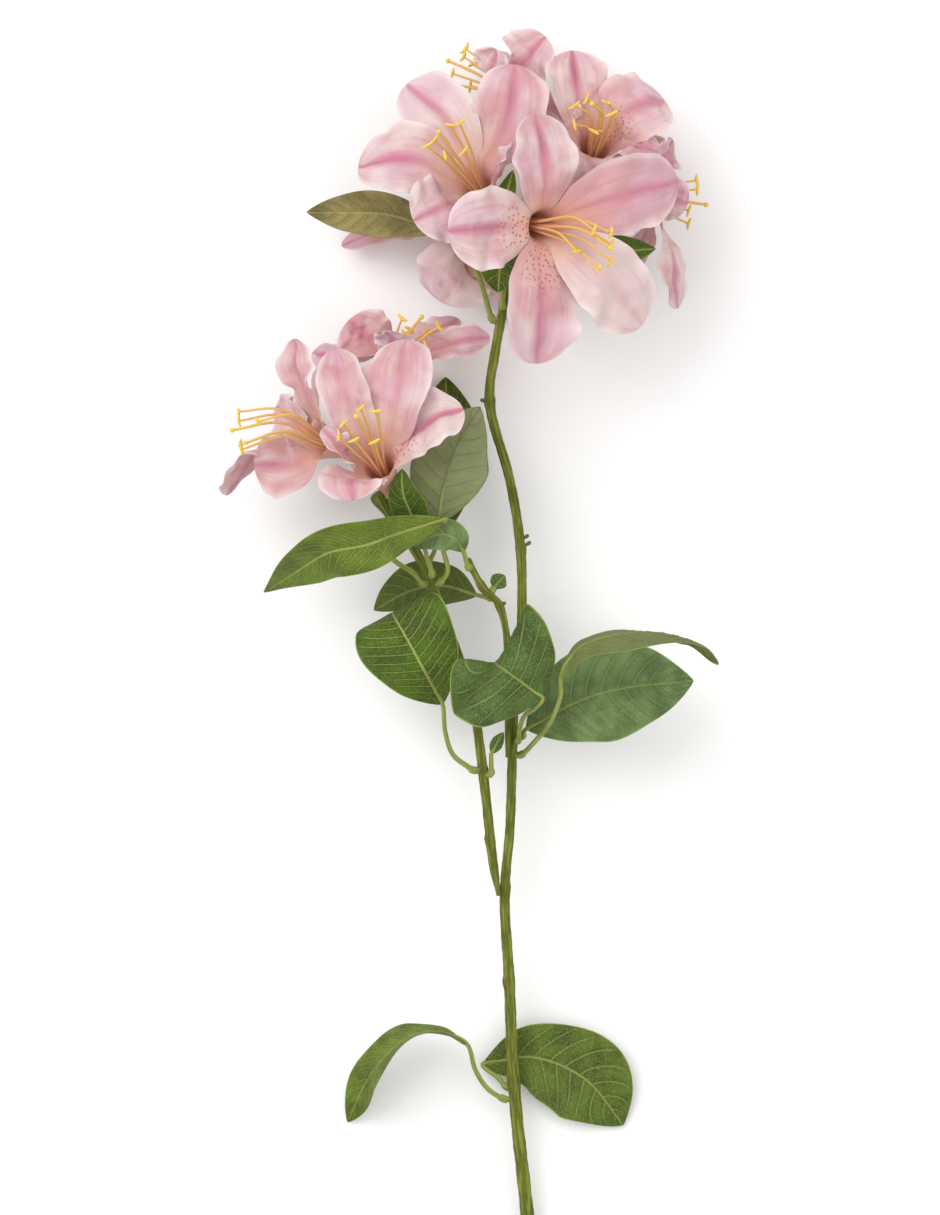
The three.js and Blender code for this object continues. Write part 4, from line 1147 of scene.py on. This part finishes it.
class AZALEA_OT_leaves(bpy.types.Operator):
    """Build the leaves on their stalks"""

    bl_idname = "azalea.leaves"
    bl_label = "Leaves"

    def execute(self, context):
        vein, grey, olive = tint_of("leaf_vein"), tint_of("leaf_grey"), tint_of("leaf_olive")
        brown, shade = tint_of("stem_brown"), tint_of("leaf_back_painted_shade")
        finishes = {
            "deep": leaf_finish("leaf_deep", tint_of("leaf_deep"), olive, vein, vein, 0.75),
            "fresh": leaf_finish("leaf_fresh", tint_of("leaf_fresh"), olive, vein, vein, 0.7),
            "moss": leaf_finish("leaf_moss", tint_of("leaf_moss"), olive, vein, vein, 0.5),
            "broad": leaf_finish("leaf_broad", tint_of("leaf_broad"), grey, vein, vein, 0.4),
            # The blue leaves' backs take the leaf back that is darkened with painted shade.
            "blue": leaf_finish("leaf_blue", tint_of("leaf_blue"), shade, vein, vein, 0.45),
            "olive": leaf_finish("leaf_olive", tint_of("leaf_fresh"), olive, vein, vein, 0.4),
            "grey": leaf_finish("leaf_grey", tint_of("leaf_blue"), grey, brown, brown, 0.25),
            "bronze": leaf_finish("leaf_bronze", tint_of("leaf_bronze"), grey, vein, brown, 0.4),
        }
        stalk = stem_finish("leaf_stalk", tint_of("stalk_green"), tint_of("stem_light"), 0.3)
        for k, drawn in enumerate(LEAVES):
            shape = leaf_shape(drawn, piece_rng("leaves", k))
            made = shape.build(f"{drawn['name']}_blade", [finishes[drawn["finish"]], stalk])
            settle_piece(made, drawn["name"])
        return {"FINISHED"}


class AZALEA_OT_corollas(bpy.types.Operator):
    """Build the funnel-shaped corollas"""

    bl_idname = "azalea.corollas"
    bl_label = "Corollas"

    def execute(self, context):
        crepe = petal_finish()
        for k, drawn in enumerate(FLOWERS):
            shape = corolla_shape(drawn, piece_rng("corollas", k))
            made = shape.build(f"{drawn['name']}_petals", [crepe])
            settle_piece(made, f"{drawn['name']}_corolla")
        return {"FINISHED"}


class AZALEA_OT_stamens(bpy.types.Operator):
    """Build the stamens and pistils"""

    bl_idname = "azalea.stamens"
    bl_label = "Stamens"

    def execute(self, context):
        thread, pollen = filament_finish(), anther_finish()
        for k, drawn in enumerate(FLOWERS):
            shape = stamen_shape(drawn, piece_rng("stamens", k))
            made = shape.build(f"{drawn['name']}_threads", [thread, pollen])
            settle_piece(made, f"{drawn['name']}_stamens")
        return {"FINISHED"}


class AZALEA_OT_flower_stalks(bpy.types.Operator):
    """Build the flower stalks and their sepals"""

    bl_idname = "azalea.flower_stalks"
    bl_label = "Flower stalks"

    def execute(self, context):
        green = stem_finish("flower_stalk", tint_of("stalk_green"), tint_of("stem_light"), 0.2)
        for k, drawn in enumerate(FLOWERS):
            shape = stalk_shape(drawn, piece_rng("stalks", k))
            made = shape.build(f"{drawn['name']}_stalk", [green])
            settle_piece(made, f"{drawn['name']}_pedicel")
        return {"FINISHED"}


FLOOR_HALF = 6.0  # half the floor's side; this and what follows is in metres
CAMERA_HEIGHT = 2.5
BLOOM_HEIGHT = 0.05  # level at which the view's size is measured
VIEW_LENGTH = 0.486  # how much of the spray's length the view takes in
VIEW_OFFSET = (0.0010, 0.0281)  # how far past the middle of the spray the view is centred
SENSOR = 36.0
LAMPS = [  # name, place and size in metres, power in watts
    ("key_light", (-1.0, 0.9, 1.8), 1.5, 26),
    ("fill_light", (1.2, -0.4, 1.6), 1.6, 8),
    ("top_light", (0.0, 0.2, 2.9), 2.0, 13),
]
SKY_COLOUR = (1.0, 0.995, 0.985, 1)
SKY_STRENGTH = 0.69


class AZALEA_OT_stage(bpy.types.Operator):
    """Set out the floor, the lights and the camera"""

    bl_idname = "azalea.stage"
    bl_label = "Stage"

    def execute(self, context):
        scene = context.scene
        mesh = bpy.data.meshes.new("floor")
        corners = [(-1, -1), (1, -1), (1, 1), (-1, 1)]
        level = CAD_BOX[0].z
        points = [(x * FLOOR_HALF, y * FLOOR_HALF, level) for x, y in corners]
        mesh.from_pydata(points, [], [(0, 1, 2, 3)])
        mesh.materials.append(floor_finish())
        floor = bpy.data.objects.new("floor", mesh)
        scene.collection.objects.link(floor)

        for name, place, size, power in LAMPS:
            lamp = bpy.data.lights.new(name, "AREA")
            lamp.shape = "SQUARE"
            lamp.size = size
            lamp.energy = power
            made = bpy.data.objects.new(name, lamp)
            made.location = place
            aim = -made.location.normalized()
            made.rotation_euler = aim.to_track_quat("-Z", "Y").to_euler()
            scene.collection.objects.link(made)

        world = bpy.data.worlds.new("soft_light")
        world.use_nodes = True
        background = world.node_tree.nodes["Background"]
        background.inputs["Color"].default_value = SKY_COLOUR
        background.inputs["Strength"].default_value = SKY_STRENGTH
        scene.world = world
        scene.view_settings.view_transform = "Standard"

        lens = bpy.data.cameras.new("camera")
        lens.sensor_width = SENSOR
        lens.lens = SENSOR * (CAMERA_HEIGHT - BLOOM_HEIGHT) / VIEW_LENGTH
        camera = bpy.data.objects.new("camera", lens)
        middle = (CAD_BOX[0] + CAD_BOX[1]) / 2
        camera.location = (middle.x + VIEW_OFFSET[0], middle.y + VIEW_OFFSET[1], CAMERA_HEIGHT)
        scene.collection.objects.link(camera)
        scene.camera = camera
        return {"FINISHED"}


class AZALEA_PT_spray(bpy.types.Panel):
    """The spray's sizes, colours and pieces"""

    bl_idname = "AZALEA_PT_spray"
    bl_label = "Cut azalea spray"
    bl_space_type = "VIEW_3D"
    bl_region_type = "UI"
    bl_category = "Azalea"

    def draw(self, context):
        for group in (context.scene.azalea_sizes, context.scene.azalea_tints):
            column = self.layout.column()
            for name in group.__annotations__:
                column.prop(group, name)
        for operator in OPERATORS:
            self.layout.operator(operator.bl_idname)


OPERATORS = (AZALEA_OT_stems, AZALEA_OT_leaves, AZALEA_OT_corollas, AZALEA_OT_stamens,
             AZALEA_OT_flower_stalks, AZALEA_OT_stage)
CLASSES = (SpraySizes, SprayTints, *OPERATORS, AZALEA_PT_spray)


def register():
    for cls in CLASSES:
        bpy.utils.register_class(cls)
    bpy.types.Scene.azalea_sizes = bpy.props.PointerProperty(type=SpraySizes)
    bpy.types.Scene.azalea_tints = bpy.props.PointerProperty(type=SprayTints)


def unregister():
    del bpy.types.Scene.azalea_tints
    del bpy.types.Scene.azalea_sizes
    for cls in reversed(CLASSES):
        bpy.utils.unregister_class(cls)


def main():
    """Builds the whole spray and its stage."""
    register()
    bpy.ops.azalea.stems()
    bpy.ops.azalea.leaves()
    bpy.ops.azalea.corollas()
    bpy.ops.azalea.stamens()
    bpy.ops.azalea.flower_stalks()
    bpy.ops.azalea.stage()


if __name__ == "__main__":
    main()
